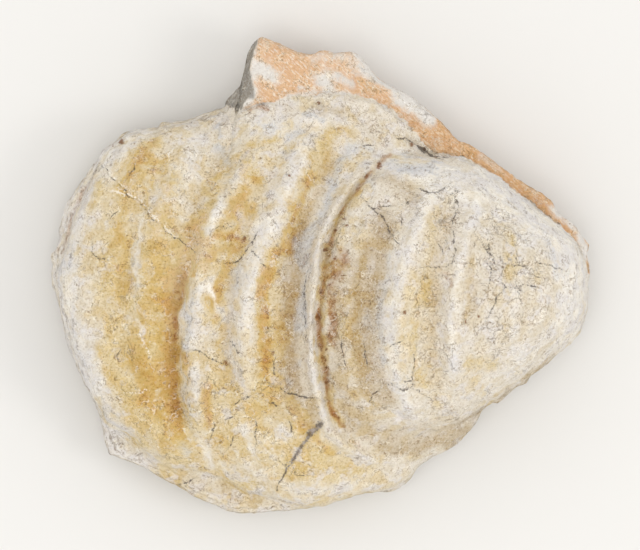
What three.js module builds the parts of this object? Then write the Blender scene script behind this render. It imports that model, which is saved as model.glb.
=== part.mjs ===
// A fossil bivalve: a thick, strongly folded clam turned to pale limestone, in one piece.
// It lies on its back. The upper valve faces up with its beak towards +X and its old growing
// margin towards -X; a flat, broken hinge wing stands out beyond it on the +Y side, and the rim
// of the other valve shows as a low ledge all round. Millimetres, +Z up. The origin is below
// the middle of its box, on the flat that it rests on.
import * as THREE from "three";

// Heights above the rest face.
const UMBO_HEIGHT = 42; // the swollen young shell near the beak
const SHELL_HEIGHT = 36; // the later, flatter shell
const RIM_HEIGHT = 8.5; // the line where the two valves' margins meet
const WING_HEIGHT = 19; // the hinge wing's broken face, at the wing's middle
const WING_TILT = [-0.1, -0.03]; // rise of that face for each millimetre along X and along Y
const WING_MIDDLE = [6, 36];
const WING_TUCK = 2; // how far the wing runs in under the shell
const CLIFF = 2.6; // rise over run of a broken or worn-back wall
const UMBO_SWELL = 2.2; // how full each shell is: 2 is an ellipse, and more is flatter on top
const SHELL_SWELL = 1.6;
const EDGE_ROUND = 2.2; // rounding of the upper rim
const BACK_ROUND = 25; // how far in from the rim the underside curves down to its flat

// The outline seen from above, as four edges that meet in corners. Along the upper and lower
// edges each point is [x, y]; along the two ends it is [y, x].
const UPPER_EDGE = [
  [53.2, 7], [51.6, 9], [50, 10.8], [48.4, 11.8], [46, 15], [42, 17.6], [38, 20.2], [34, 23.2],
  [30, 26], [28, 26.8], [26, 28.4], [24, 30.8], [20, 34.2], [16, 36.8], [12, 39], [10, 41.2],
  [8, 43.6], [6.4, 44.6], [3, 44.2], [1, 44.8], [-2, 44.2], [-4.4, 44.6], [-9.6, 46.8],
  [-11.6, 47.5], [-12.8, 46.8], [-14, 45], [-14.8, 42.6], [-15.4, 40], [-16, 37.8], [-17.2, 36.6],
  [-18.4, 35.2], [-18.9, 33.6], [-20.4, 33.2], [-25.6, 31.4], [-28, 30.8], [-31.6, 30.6],
  [-32.6, 29.3], [-36, 29.2], [-39.6, 28.2], [-41, 26.6], [-43.2, 25], [-44.4, 23],
];
const LOWER_EDGE = [
  [52, -11.4], [50.4, -13.4], [48, -15.4], [44, -19], [42, -20.4], [41.4, -21.5], [39.2, -22.4],
  [35.2, -25.8], [33.8, -25.8], [31.8, -28], [31, -29.8], [27, -34.2], [21.6, -37], [19.6, -38.4],
  [18.2, -40.8], [17, -41.8], [14, -43.2], [9, -43.6], [3, -45.4], [0, -46.4], [-8, -47.2],
  [-15, -47.7], [-18.4, -47.2], [-21.4, -45.8], [-24, -44.8], [-28, -42.4], [-32, -40.4],
  [-36, -38.2], [-39, -37.2], [-42, -35.8],
];
const BEAK_END = [
  [7, 53.2], [6, 53.8], [4, 53.4], [-0.2, 54], [-4, 53.6], [-7, 53.4], [-9, 53], [-11.4, 52],
];
const OUTER_END = [
  [23, -44.4], [19.4, -47.2], [17.8, -48.8], [14, -50.8], [8.6, -52.2], [6.4, -52.3],
  [3.6, -53.8], [2.2, -53.5], [0.6, -53.9], [-4.6, -52.6], [-10, -51.4], [-13.8, -50.6],
  [-17.4, -49], [-23.4, -46], [-28.6, -44], [-33.6, -42.8], [-35.8, -42],
];

// Where the wing meets the shell, [x, y], and the wing's snapped left end, [y, x, slope of the
// broken wall that falls from it].
const HINGE_LINE = [
  [-15.6, 35.6], [-12, 36.6], [-8, 36], [-4, 35.6], [5, 35.2], [10, 34], [14, 31.4], [17, 28.6],
  [19.6, 26.2], [24, 23.8], [28, 23.2], [32, 21.6], [36, 19], [40, 16], [44, 12.6], [48, 9.4],
  [51, 6.4], [52.4, 4],
];
const WING_LEFT_EDGE = [
  [34, -15.4, 2], [35.6, -14.1, 1.8], [37, -13.4, 2], [39, -13.7, 3.6], [41, -14, 5],
  [43, -13.6, 5], [46.6, -12.5, 5],
];

// The swollen young shell: round its foot, each [x, y, foot height, wall]. The wall is 0.5 for a
// round, steep flank and 1 for a slope that runs out gently.
const UMBO_CENTRE = [29, -2];
const UMBO_FOOT = [
  [0.4, -5, 33, 1], [0.6, 5, 33, 1], [4, 14, 31.5, 0.95], [10, 21.4, 28.5, 0.85],
  [17, 23.8, 24, 0.7], [23, 23.8, 19.5, 0.6], [28, 23.4, 17.4, 0.55], [32, 21.8, 16.8, 0.55],
  [35.4, 19.6, 16.4, 0.55], [39, 16.8, 16, 0.55], [43, 13.6, 15.8, 0.5], [46, 11.2, 15.5, 0.5],
  [49, 8.8, 15.3, 0.5], [51.8, 5.6, 14, 0.5], [53.8, -1, 9.5, 0.5], [53, -9, 9.5, 0.5],
  [48, -15.4, 10, 0.5], [41.6, -21.2, 10, 0.5], [35, -25.4, 10.5, 0.5], [29, -29.4, 12, 0.5],
  [21, -32.4, 15.5, 0.6], [13, -33.4, 20, 0.7], [6, -32, 25.5, 0.85], [2, -26, 30.5, 1],
  [0.2, -15, 32.5, 1],
];

// The later shell, which carries the broad folds and runs out to the old margin.
const SHELL_CENTRE = [-5, -3];
const SHELL_FOOT = [
  [48, 11, 9, 0.6], [53, -1, 7, 0.6], [48, -15, 8, 0.6], [34, -25.8, 10, 0.6],
  [29.2, -31.8, 11, 0.6], [21.6, -36.8, 12, 0.6], [17, -41.6, 12, 0.55], [6, -44.8, 14, 0.5],
  [0, -46.4, 15, 0.5], [-8, -45, 15.5, 0.5], [-16, -42.6, 15.5, 0.55], [-20, -40.4, 15.5, 0.55],
  [-24, -39.2, 15.5, 0.6], [-31, -38, 15, 0.55], [-34, -36, 15, 0.5], [-38, -32.2, 15, 0.5],
  [-43, -28.5, 15.5, 0.45], [-47.6, -20.6, 15.5, 0.4], [-51.2, -10, 15.5, 0.4],
  [-52.4, -2, 15.5, 0.4], [-50.6, 6, 15.5, 0.4], [-48.4, 13, 16, 0.4], [-45, 20, 16, 0.4],
  [-43, 24.6, 15, 0.42], [-38, 28.4, 14.5, 0.5], [-32, 29.8, 14, 0.55], [-25.6, 31.2, 14.5, 0.65],
  [-19, 33.2, 16, 0.75], [-11.6, 35, 19.2, 0.95], [-4, 35.4, 20.4, 1.1], [4, 35.4, 20.6, 1.15],
  [11, 33.8, 20.5, 1.15], [16, 30.6, 20, 1.1], [21, 25.2, 19, 1], [30, 21, 16, 0.8],
];

// The other valve's ledge round the shell, each [x, y, height].
const LEDGE = [
  [53, 0, 9.6], [48, -15, 10], [34, -26, 10], [28, -33, 11], [17, -41.6, 11.4], [6, -46, 13],
  [-8, -47, 14.2], [-24, -44, 14.2], [-34, -39, 13.2], [-42, -35.8, 12], [-45, -28, 11],
  [-49, -18, 10], [-53.6, 0, 10], [-51, 13, 9.6], [-46, 21, 9.8], [-41, 26.6, 10.4],
  [-30, 30.8, 11], [-19, 34, 10.4], [-14, 43, 10], [-4, 44, 10.4], [12, 39, 10.6], [28, 27, 11],
  [40, 19, 11], [50, 11, 10],
];

// Folds and furrows of the shell. Each follows a path across it, from the hinge side to the free
// side, and has a height, negative for a furrow, and a reach on the beak side and on the outer.
const FOLDS = [
  {
    name: "beak margin", height: 0.6, beak: 1.6, outer: 1.6,
    path: [[46.6, 16.6], [49.6, 9], [51, -1], [49, -12]],
  },
  {
    name: "beak rib", height: 0.4, beak: 1, outer: 1,
    path: [[43, 13], [44.6, 4], [45, -5], [43.6, -14]],
  },
  {
    name: "second beak rib", height: 0.5, beak: 1.2, outer: 1.2,
    path: [[38, 16], [38.6, 6], [38.4, -4], [37, -16]],
  },
  {
    name: "hollow behind the ribs", height: -0.6, beak: 1.8, outer: 1.8,
    path: [[35, 14], [34, 6], [33, -5], [32, -16]],
  },
  {
    name: "first fold", height: 1.5, beak: 2, outer: 1.5,
    path: [[34, 21.8], [32, 17], [29.4, 8.6], [27.2, -1], [26, -11], [26, -19], [28.4, -25]],
  },
  {
    name: "first furrow", height: -1.5, beak: 2, outer: 2,
    path: [[28.4, 17], [24.4, 9], [22.8, -2], [22.2, -14], [23, -23.4]],
  },
  {
    name: "second fold", height: 2, beak: 2.9, outer: 2.2,
    path: [
      [26.4, 22], [24, 18.6], [20, 10.6], [16.8, 1], [15.8, -9], [16, -18], [18.4, -27.4],
      [22, -33],
    ],
  },
  {
    name: "second furrow", height: -1.2, beak: 2.6, outer: 3.2,
    path: [[15.6, 18], [13.2, 11], [10.6, 1], [8.8, -8.6], [9, -16.6], [11.6, -25]],
  },
  {
    name: "small fold", height: 0.7, beak: 1.2, outer: 1.2,
    path: [[12, 17], [9.6, 11], [8.2, 6], [7, 2]],
  },
  {
    name: "lip groove", height: -1.7, beak: 1.2, outer: 0.75,
    path: [
      [14, 23.4], [11.2, 21.8], [7.4, 17.6], [3.8, 12], [1.5, 7], [0.7, 2], [0, -4], [-0.6, -9],
      [-0.3, -14], [0.7, -19], [1.3, -25], [4, -29.4],
    ],
  },
  {
    name: "lip", height: 2.2, beak: 0.9, outer: 1.1,
    path: [
      [16.4, 24.6], [10.4, 23], [5.2, 17], [1.4, 10], [-0.5, 4], [-1, -2], [-1.8, -9],
      [-1.7, -15], [-0.8, -22], [1.2, -29], [5, -34], [11, -36.8], [17, -37.8],
    ],
  },
  {
    name: "lip furrow", height: -1.9, beak: 1.8, outer: 2.4,
    path: [
      [8, 27.6], [3, 24], [-1, 16], [-3.8, 9], [-5, 1], [-5.5, -7], [-5.8, -14], [-5, -22],
      [-3, -28],
    ],
  },
  {
    name: "third fold", height: 1.9, beak: 2.6, outer: 2.2,
    path: [
      [0.4, 31], [-3.4, 23.6], [-6.6, 16.6], [-9.6, 9], [-11.8, 3], [-14.2, -4], [-14.8, -12],
      [-14.6, -20.6], [-13, -29],
    ],
  },
  {
    name: "third furrow", height: -1.3, beak: 1.9, outer: 2,
    path: [
      [-5.4, 27], [-8.4, 22], [-11.6, 16.4], [-14.8, 10.4], [-17.2, 4], [-18.3, -6], [-18.2, -15],
      [-17.4, -25],
    ],
  },
  {
    name: "fourth fold", height: 1.8, beak: 3.2, outer: 1.7,
    path: [
      [-9.6, 28.4], [-13.2, 24], [-16.8, 18.4], [-20.8, 11.6], [-23.2, 5], [-24, -3.4],
      [-25, -12], [-24.6, -23], [-22.6, -31], [-18, -38],
    ],
  },
  {
    name: "step foot", height: -2.2, beak: 1.2, outer: 2.4,
    path: [[-25.8, 5], [-27.4, -3], [-28.6, -10], [-28.6, -18], [-28, -24.6], [-26, -33]],
  },
  {
    name: "upper furrow", height: -1.4, beak: 1.7, outer: 1.8,
    path: [[-16.4, 30], [-19, 25], [-22.2, 19], [-24.8, 12.6], [-27.4, 4]],
  },
  {
    name: "fifth fold", height: 0.9, beak: 2.6, outer: 1.8,
    path: [
      [-24.6, 28.6], [-27.4, 22], [-31, 15], [-34, 7.6], [-35.4, 0], [-35.6, -9], [-34.8, -18],
      [-33, -26],
    ],
  },
  {
    name: "outer furrow", height: -0.9, beak: 1.6, outer: 2,
    path: [
      [-28, 29.4], [-31.2, 22.4], [-34.6, 15], [-37.2, 8], [-38.6, 0.6], [-39, -8], [-38.4, -17],
      [-37, -25],
    ],
  },
  {
    name: "margin shoulder", height: 1.3, beak: 3.6, outer: 2.4,
    path: [
      [-40.6, 24.6], [-45, 18], [-48, 10], [-50, -3.4], [-46.4, -16.6], [-44, -25], [-41.6, -32],
    ],
  },
];
const FOLD_FADE = 0.16; // share of a fold's path over which it dies out at each end

// Breaks and wear, laid over the shell and the wing in the same way.
const BREAKS = [
  {
    name: "wing hollow", height: -0.8, beak: 5, outer: 5,
    path: [[-10, 41], [-2, 40], [5, 38.4]],
  },
  {
    name: "worn upper edge", height: -1.2, beak: 1.3, outer: 1.3,
    path: [[6, 44.8], [9, 42.6], [12.4, 39], [15, 37.4]],
  },
  {
    name: "worn right edge", height: -1, beak: 1.5, outer: 1.5,
    path: [[15, 37.6], [18, 35.6], [21, 33.4]],
  },
  {
    name: "hinge crevice", height: -1.6, beak: 0.7, outer: 0.7,
    path: [[15.4, 27.2], [18, 26.6], [20, 25], [24, 23.6], [28, 23]],
  },
  {
    name: "shell's broken edge", height: 0.7, beak: 0.5, outer: 2.4,
    path: [
      [-15.6, 33.6], [-12, 35.6], [-4, 35.8], [5, 35.6], [10, 34.6], [14, 32.2], [17, 29.2],
      [19.6, 26.8],
    ],
  },
];
const BREAK_FADE = 0.25;
const PATH_STEPS = 48;

// Growth lines that the surface mesh follows: X at the upper edge, half way and the lower edge,
// and how many cells lie between this line and the next.
const GROWTH_LINES = [
  { name: "beak end", upper: 53.2, middle: 53.6, lower: 52, cells: 4 },
  { name: "beak shoulder", upper: 50.5, middle: 50.5, lower: 49.4, cells: 12 },
  { name: "first fold", upper: 37, middle: 27.2, lower: 31, cells: 12 },
  { name: "second fold", upper: 31, middle: 16.4, lower: 25, cells: 13 },
  { name: "lip groove", upper: 22.3, middle: 0.7, lower: 15.2, cells: 3 },
  { name: "lip", upper: 21, middle: -1.2, lower: 14, cells: 3 },
  { name: "lip furrow", upper: 19, middle: -3.1, lower: 12.2, cells: 11 },
  { name: "third fold", upper: 1, middle: -14.4, lower: -8, cells: 6 },
  { name: "wing tip", upper: -12.6, middle: -17.4, lower: -14.5, cells: 8 },
  { name: "fourth fold", upper: -19.4, middle: -25, lower: -20, cells: 12 },
  { name: "fifth fold", upper: -31, middle: -37, lower: -33, cells: 8 },
  { name: "margin shoulder", upper: -41, middle: -50, lower: -40, cells: 4 },
  { name: "outer end", upper: -44.4, middle: -53.4, lower: -42, cells: 0 },
];
const CELLS_ACROSS = 36; // cells from the upper edge to the lower one, closer at both edges
const WALL_CELLS = 2; // cells down the wall between the top's edge and the rim line
const EDGE_CROWDING = 0.45;
const END_BEND = 0.12; // share of the rows that bend towards the true outline at each end

// Low lumps of weathering, as slanting waves: [rate along X, rate along Y, phase, height].
const LUMPS = [
  [0.19, 0.11, 0.4, 0.3], [-0.13, 0.23, 1.9, 0.26], [0.37, -0.21, 3.1, 0.2],
  [0.29, 0.43, 5.2, 0.18], [-0.61, 0.33, 0.8, 0.12], [0.52, 0.71, 2.6, 0.1],
];
const LUMPS_FADE_IN = 6; // distance from the outline over which the lumps start
const LOWEST_EDGE = 9; // the rounding of the upper rim never cuts below this height
const LEAST_ROUND = 0.4;
// Width of the fillet where the two shells, the wing and the ledge run into each other.
const FILLETS = { shells: 1.2, wing: 0.5, ledge: 1.6 };

const clamp = (v, low, high) => Math.min(Math.max(v, low), high);
const smoothstep = (v) => {
  const t = clamp(v, 0, 1);
  return t * t * (3 - 2 * t);
};

// A smooth curve through points [x, y, ...] that doesn't overshoot them (monotone cubic). With a
// period it closes on itself. It returns y, or the list of values after x.
function curveThrough(points, period = 0) {
  let p = [...points].sort((a, b) => a[0] - b[0]);
  if (period) {
    const shifted = (list, by) => list.map(([x, ...rest]) => [x + by, ...rest]);
    p = [...shifted(p.slice(-2), -period), ...p, ...shifted(p.slice(0, 2), period)];
  }
  const slopes = p.map((point, i) =>
    point.slice(1).map((value, c) => {
      const before = i ? (value - p[i - 1][c + 1]) / (point[0] - p[i - 1][0]) : null;
      const after = i < p.length - 1 ? (p[i + 1][c + 1] - value) / (p[i + 1][0] - point[0]) : null;
      if (before === null) return after;
      if (after === null) return before;
      return before * after > 0 ? (2 * before * after) / (before + after) : 0;
    }),
  );
  return (at) => {
    let x = at;
    if (period) while (x < p[1][0]) x += period;
    if (period) while (x >= p[1][0] + period) x -= period;
    let i = 0;
    while (i < p.length - 2 && x > p[i + 1][0]) i += 1;
    const width = p[i + 1][0] - p[i][0];
    const t = clamp((x - p[i][0]) / width, 0, 1);
    const values = slopes[i].map((slope, c) => {
      const [a, b] = [p[i][c + 1], p[i + 1][c + 1]];
      return (
        a * (1 + 2 * t) * (1 - t) ** 2 +
        b * t * t * (3 - 2 * t) +
        width * (slope * t * (1 - t) ** 2 - slopes[i + 1][c] * t * t * (1 - t))
      );
    });
    return values.length === 1 ? values[0] : values;
  };
}

// The nearest place on a polyline: distance, share of its length, and which side it lies on.
function nearestOn(line, x, y) {
  let best = { distance: Infinity, share: 0, side: 1 };
  for (let i = 0; i < line.length - 1; i += 1) {
    const [ax, ay] = line[i];
    const [dx, dy] = [line[i + 1][0] - ax, line[i + 1][1] - ay];
    const t = clamp(((x - ax) * dx + (y - ay) * dy) / (dx * dx + dy * dy), 0, 1);
    const distance = Math.hypot(x - ax - t * dx, y - ay - t * dy);
    if (distance < best.distance) {
      const side = Math.sign(dx * (y - ay) - dy * (x - ax)) || 1;
      best = { distance, share: (i + t) / (line.length - 1), side };
    }
  }
  return best;
}

const upperEdge = curveThrough(UPPER_EDGE);
const lowerEdge = curveThrough(LOWER_EDGE);
const beakEnd = curveThrough(BEAK_END);
const outerEnd = curveThrough(OUTER_END);
const [outerLow, outerHigh] = [OUTER_END.at(-1)[0], OUTER_END[0][0]];
const [beakLow, beakHigh] = [BEAK_END.at(-1)[0], BEAK_END[0][0]];

const rows = GROWTH_LINES.reduce((sum, line) => sum + line.cells, 0);
const columns = CELLS_ACROSS;
let cellsSoFar = 0;
const growthLine = curveThrough(
  GROWTH_LINES.map((line) => {
    const row = [cellsSoFar / rows, line.upper, line.middle, line.lower];
    cellsSoFar += line.cells;
    return row;
  }),
);

// The parabola through three values at 0, 1/2 and 1.
const parabola = ([upper, middle, lower], s) =>
  upper * (1 - s) * (1 - 2 * s) + middle * 4 * s * (1 - s) + lower * s * (2 * s - 1);

// A point of the plan: along 0 is the beak end and 1 the outer end, across 0 the upper edge and 1
// the lower one. A growth line is the parabola through its three places, and near the two ends
// it is bent to the true outline.
function planPoint(along, across) {
  const ends = growthLine(along);
  const y = upperEdge(ends[0]) * (1 - across) + lowerEdge(ends[2]) * across;
  const beakGap = beakEnd(clamp(y, beakLow, beakHigh)) - parabola(growthLine(0), across);
  const outerGap = outerEnd(clamp(y, outerLow, outerHigh)) - parabola(growthLine(1), across);
  const nearBeak = 1 - smoothstep(along / END_BEND);
  const nearOuter = 1 - smoothstep((1 - along) / END_BEND);
  return [parabola(ends, across) + nearBeak * beakGap + nearOuter * outerGap, y];
}

// The lattice of the plan: rows run from the beak end to the outer end, columns from the upper
// edge to the lower one. Its border is the outline, used for distances from the rim.
const crowded = (u) => u - (EDGE_CROWDING * Math.sin(2 * Math.PI * u)) / (2 * Math.PI);
const plan = Array.from({ length: rows + 1 }, (_, i) =>
  Array.from({ length: columns + 1 }, (__, j) => planPoint(i / rows, crowded(j / columns))),
);
const border = [
  ...plan.map((_, i) => [i, 0]),
  ...plan[rows].map((_, j) => [rows, j]).slice(1),
  ...plan.map((_, i) => [i, columns]).reverse().slice(1),
  ...plan[0].map((_, j) => [0, j]).slice(1, -1).reverse(),
];
const outline = [...border, border[0]].map(([i, j]) => plan[i][j]);

// Values given at places round a centre, [x, y, ...values], as a smooth function of direction.
// The places' distance from the centre comes last.
function around([cx, cy], places) {
  const round = curveThrough(
    places.map(([x, y, ...rest]) => [Math.atan2(y - cy, x - cx), ...rest, Math.hypot(x - cx, y - cy)]),
    2 * Math.PI,
  );
  return (x, y) => round(Math.atan2(y - cy, x - cx));
}

// A dome from its centre, its top and the stations round its foot. Height falls from the top to
// the foot as (1 - q^power)^wall, where q is the share of the way out, and like a cliff beyond.
function dome(centre, top, foot, power) {
  const round = around(centre, foot);
  return (x, y) => {
    const out = Math.hypot(x - centre[0], y - centre[1]);
    const [low, wall, reach] = round(x, y);
    if (out >= reach) return low - CLIFF * (out - reach);
    return low + (top - low) * (1 - (out / reach) ** power) ** wall;
  };
}
const umbo = dome(UMBO_CENTRE, UMBO_HEIGHT, UMBO_FOOT, UMBO_SWELL);
const shell = dome(SHELL_CENTRE, SHELL_HEIGHT, SHELL_FOOT, SHELL_SWELL);
const ledge = around(SHELL_CENTRE, LEDGE);

// The wing's face is a tilted plane. It ends in a steep wall on the left, and in a cliff out of
// sight under the shell.
const hingeLine = curveThrough(HINGE_LINE);
const wingLeftEdge = curveThrough(WING_LEFT_EDGE);
function wing(x, y) {
  const [run, side] = [x - WING_MIDDLE[0], y - WING_MIDDLE[1]];
  const face = WING_HEIGHT + WING_TILT[0] * run + WING_TILT[1] * side;
  const [edge, wallSlope] = wingLeftEdge(y);
  const beyond = Math.max(0, edge - x);
  const under = Math.max(0, hingeLine(x) - WING_TUCK - y);
  return face - wallSlope * beyond - CLIFF * under;
}

// A path's points joined by a smooth curve, in even steps along its chords.
function smoothPath(path) {
  let run = 0;
  const stations = path.map(([x, y], k) => {
    if (k) run += Math.hypot(x - path[k - 1][0], y - path[k - 1][1]);
    return [run, x, y];
  });
  const curve = curveThrough(stations);
  return Array.from({ length: PATH_STEPS + 1 }, (_, k) => curve((run * k) / PATH_STEPS));
}

// The sum of strokes at a place. Each is height * exp(-(distance / reach)^2) and dies out at the
// ends of its path.
function relief(strokes, endFade) {
  const lines = strokes.map((stroke) => ({ ...stroke, line: smoothPath(stroke.path) }));
  return (x, y) =>
    lines.reduce((sum, { line, height, beak, outer }) => {
      const { distance, share, side } = nearestOn(line, x, y);
      const reach = side > 0 ? beak : outer;
      const fade = smoothstep(share / endFade) * smoothstep((1 - share) / endFade);
      return sum + height * fade * Math.exp(-((distance / reach) ** 2));
    }, 0);
}
const folds = relief(FOLDS, FOLD_FADE);
const breaks = relief(BREAKS, BREAK_FADE);
const lumps = (x, y) =>
  LUMPS.reduce((sum, [kx, ky, phase, height]) => sum + height * Math.sin(kx * x + ky * y + phase), 0);

// The larger of two heights, with the crease between them filled.
const smoothMax = (a, b, width) =>
  Math.max(a, b) + (Math.max(width - Math.abs(a - b), 0) / width) ** 2 * width * 0.25;

const quarterRound = (share) => Math.sqrt(1 - (1 - clamp(share, 0, 1)) ** 2);
const rimHeight = (x, y) => RIM_HEIGHT + 0.6 * Math.sin(0.06 * x - 0.09 * y + 0.5);

function topHeight(x, y, inward) {
  let z = smoothMax(shell(x, y), umbo(x, y), FILLETS.shells) + folds(x, y);
  z = smoothMax(z, wing(x, y), FILLETS.wing) + breaks(x, y);
  z = smoothMax(z, ledge(x, y)[0], FILLETS.ledge);
  z += lumps(x, y) * smoothstep(inward / LUMPS_FADE_IN);
  const round = Math.max(Math.min(EDGE_ROUND, z - LOWEST_EDGE), LEAST_ROUND);
  return z - round * (1 - quarterRound(inward / round));
}
const backHeight = (x, y, inward) => rimHeight(x, y) * (1 - quarterRound(inward / BACK_ROUND));

// The stone is the top sheet, a wall all round from its border down to the rim line, and the back
// sheet, which takes every second row and column and whose border cells take in the wall's extra
// corners.
function stoneGeometry() {
  const positions = [];
  const index = [];
  const addPoint = (x, y, z) => positions.push(x, y, z) / 3 - 1;
  const onBorder = (i, j) => i === 0 || j === 0 || i === rows || j === columns;
  const inwardAt = (i, j) => (onBorder(i, j) ? 0 : nearestOn(outline, ...plan[i][j]).distance);

  const top = plan.map((line, i) =>
    line.map(([x, y], j) => addPoint(x, y, topHeight(x, y, inwardAt(i, j)))),
  );
  for (let i = 0; i < rows; i += 1)
    for (let j = 0; j < columns; j += 1) {
      const [a, b, c, d] = [top[i][j], top[i + 1][j], top[i + 1][j + 1], top[i][j + 1]];
      if ((i + j) % 2 === 0) index.push(a, b, c, a, c, d);
      else index.push(a, b, d, b, c, d);
    }

  let ring = border.map(([i, j]) => top[i][j]);
  for (let level = 1; level <= WALL_CELLS; level += 1) {
    const lower = border.map(([i, j]) => {
      const [x, y] = plan[i][j];
      const edge = positions[3 * top[i][j] + 2];
      return addPoint(x, y, edge + ((rimHeight(x, y) - edge) * level) / WALL_CELLS);
    });
    for (let k = 0; k < ring.length; k += 1) {
      const next = (k + 1) % ring.length;
      index.push(ring[k], lower[k], lower[next], ring[k], lower[next], ring[next]);
    }
    ring = lower;
  }

  const back = plan.map((line) => line.map(() => -1));
  border.forEach(([i, j], k) => {
    back[i][j] = ring[k];
  });
  const innerStart = positions.length / 3;
  for (let i = 2; i < rows; i += 2)
    for (let j = 2; j < columns; j += 2) {
      const [x, y] = plan[i][j];
      back[i][j] = addPoint(x, y, backHeight(x, y, inwardAt(i, j)));
    }
  for (let i = 0; i < rows; i += 2)
    for (let j = 0; j < columns; j += 2) {
      const corners = [
        back[i][j], back[i][j + 1], back[i][j + 2], back[i + 1][j + 2],
        back[i + 2][j + 2], back[i + 2][j + 1], back[i + 2][j], back[i + 1][j],
      ].filter((corner) => corner >= 0);
      const first = Math.max(corners.findIndex((corner) => corner >= innerStart), 0);
      const fan = [...corners.slice(first), ...corners.slice(0, first)];
      for (let k = 1; k < fan.length - 1; k += 1) index.push(fan[0], fan[k], fan[k + 1]);
    }

  const geometry = new THREE.BufferGeometry();
  geometry.setAttribute("position", new THREE.Float32BufferAttribute(positions, 3));
  geometry.setIndex(index);
  geometry.computeBoundingBox();
  const { min, max } = geometry.boundingBox;
  geometry.translate(-(min.x + max.x) / 2, -(min.y + max.y) / 2, -min.z);
  geometry.computeVertexNormals();
  return geometry;
}

const limestone = new THREE.MeshStandardMaterial({ color: 0xe0d3bc, roughness: 0.9, metalness: 0 });
const stone = new THREE.Mesh(stoneGeometry(), limestone);
stone.name = "fossil_bivalve";

const part = new THREE.Group();
part.add(stone);
export default part;
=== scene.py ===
"""A fossil bivalve: a thick, strongly folded clam turned to pale, ochre-stained limestone. It lies
on its back, with its beak towards +X and its broken hinge wing on the +Y side."""

import bpy
import numpy as np
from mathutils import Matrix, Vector


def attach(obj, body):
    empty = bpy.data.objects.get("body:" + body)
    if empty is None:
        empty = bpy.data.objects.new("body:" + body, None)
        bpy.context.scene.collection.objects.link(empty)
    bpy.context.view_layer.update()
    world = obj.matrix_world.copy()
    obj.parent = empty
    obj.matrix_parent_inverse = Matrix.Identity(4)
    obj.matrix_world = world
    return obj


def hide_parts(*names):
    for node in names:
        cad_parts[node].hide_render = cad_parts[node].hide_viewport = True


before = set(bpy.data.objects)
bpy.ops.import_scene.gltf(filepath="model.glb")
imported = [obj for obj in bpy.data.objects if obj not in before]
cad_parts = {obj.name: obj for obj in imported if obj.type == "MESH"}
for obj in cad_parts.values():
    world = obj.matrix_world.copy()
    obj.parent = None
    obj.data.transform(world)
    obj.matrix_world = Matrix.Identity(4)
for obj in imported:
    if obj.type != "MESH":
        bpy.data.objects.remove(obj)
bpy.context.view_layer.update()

MM = 0.001


# ---- The stone's plan -----------------------------------------------------------------------
# One natural piece: two valves and the rock between them, turned to limestone together and worn
# loose. Its plan, in millimetres, is the broken outline, four edges that meet in corners, and
# the old growing margins, arcs that the mesh follows.
UPPER_EDGE = [
    (53.2, 7), (51.6, 9), (50, 10.8), (48.4, 11.8), (46, 15), (42, 17.6), (38, 20.2), (34, 23.2),
    (30, 26), (28, 26.8), (26, 28.4), (24, 30.8), (20, 34.2), (16, 36.8), (12, 39), (10, 41.2),
    (8, 43.6), (6.4, 44.6), (3, 44.2), (1, 44.8), (-2, 44.2), (-4.4, 44.6), (-9.6, 46.8),
    (-11.6, 47.5), (-12.8, 46.8), (-14, 45), (-14.8, 42.6), (-15.4, 40), (-16, 37.8),
    (-17.2, 36.6), (-18.4, 35.2), (-18.9, 33.6), (-20.4, 33.2), (-25.6, 31.4), (-28, 30.8),
    (-31.6, 30.6), (-32.6, 29.3), (-36, 29.2), (-39.6, 28.2), (-41, 26.6), (-43.2, 25),
    (-44.4, 23),
]
LOWER_EDGE = [
    (52, -11.4), (50.4, -13.4), (48, -15.4), (44, -19), (42, -20.4), (41.4, -21.5),
    (39.2, -22.4), (35.2, -25.8), (33.8, -25.8), (31.8, -28), (31, -29.8), (27, -34.2),
    (21.6, -37), (19.6, -38.4), (18.2, -40.8), (17, -41.8), (14, -43.2), (9, -43.6), (3, -45.4),
    (0, -46.4), (-8, -47.2), (-15, -47.7), (-18.4, -47.2), (-21.4, -45.8), (-24, -44.8),
    (-28, -42.4), (-32, -40.4), (-36, -38.2), (-39, -37.2), (-42, -35.8),
]
# The two ends are given as Y, X.
BEAK_END = [
    (7, 53.2), (6, 53.8), (4, 53.4), (-0.2, 54), (-4, 53.6), (-7, 53.4), (-9, 53), (-11.4, 52),
]
OUTER_END = [
    (23, -44.4), (19.4, -47.2), (17.8, -48.8), (14, -50.8), (8.6, -52.2), (6.4, -52.3),
    (3.6, -53.8), (2.2, -53.5), (0.6, -53.9), (-4.6, -52.6), (-10, -51.4), (-13.8, -50.6),
    (-17.4, -49), (-23.4, -46), (-28.6, -44), (-33.6, -42.8), (-35.8, -42),
]
# Each growth line: X at the upper edge, half way and the lower edge, and the rows to the next.
GROWTH_LINES = [
    (53.2, 53.6, 52, 9),
    (50.5, 50.5, 49.4, 62),
    (37, 27.2, 31, 30),
    (31, 16.4, 25, 50),
    (21, -1.2, 14, 40),
    (1, -14.4, -8, 18),
    (-12.6, -17.4, -14.5, 24),
    (-19.4, -25, -20, 33),
    (-31, -37, -33, 34),
    (-41, -50, -40, 12),
    (-44.4, -53.4, -42, 0),
]
ROWS = sum(line[3] for line in GROWTH_LINES)
COLUMNS = 200
EDGE_CROWDING = 0.45  # how much closer the columns lie at both edges: 0 is evenly spaced
END_BEND = 0.12  # share of the rows that are bent towards the true outline at each end


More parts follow.
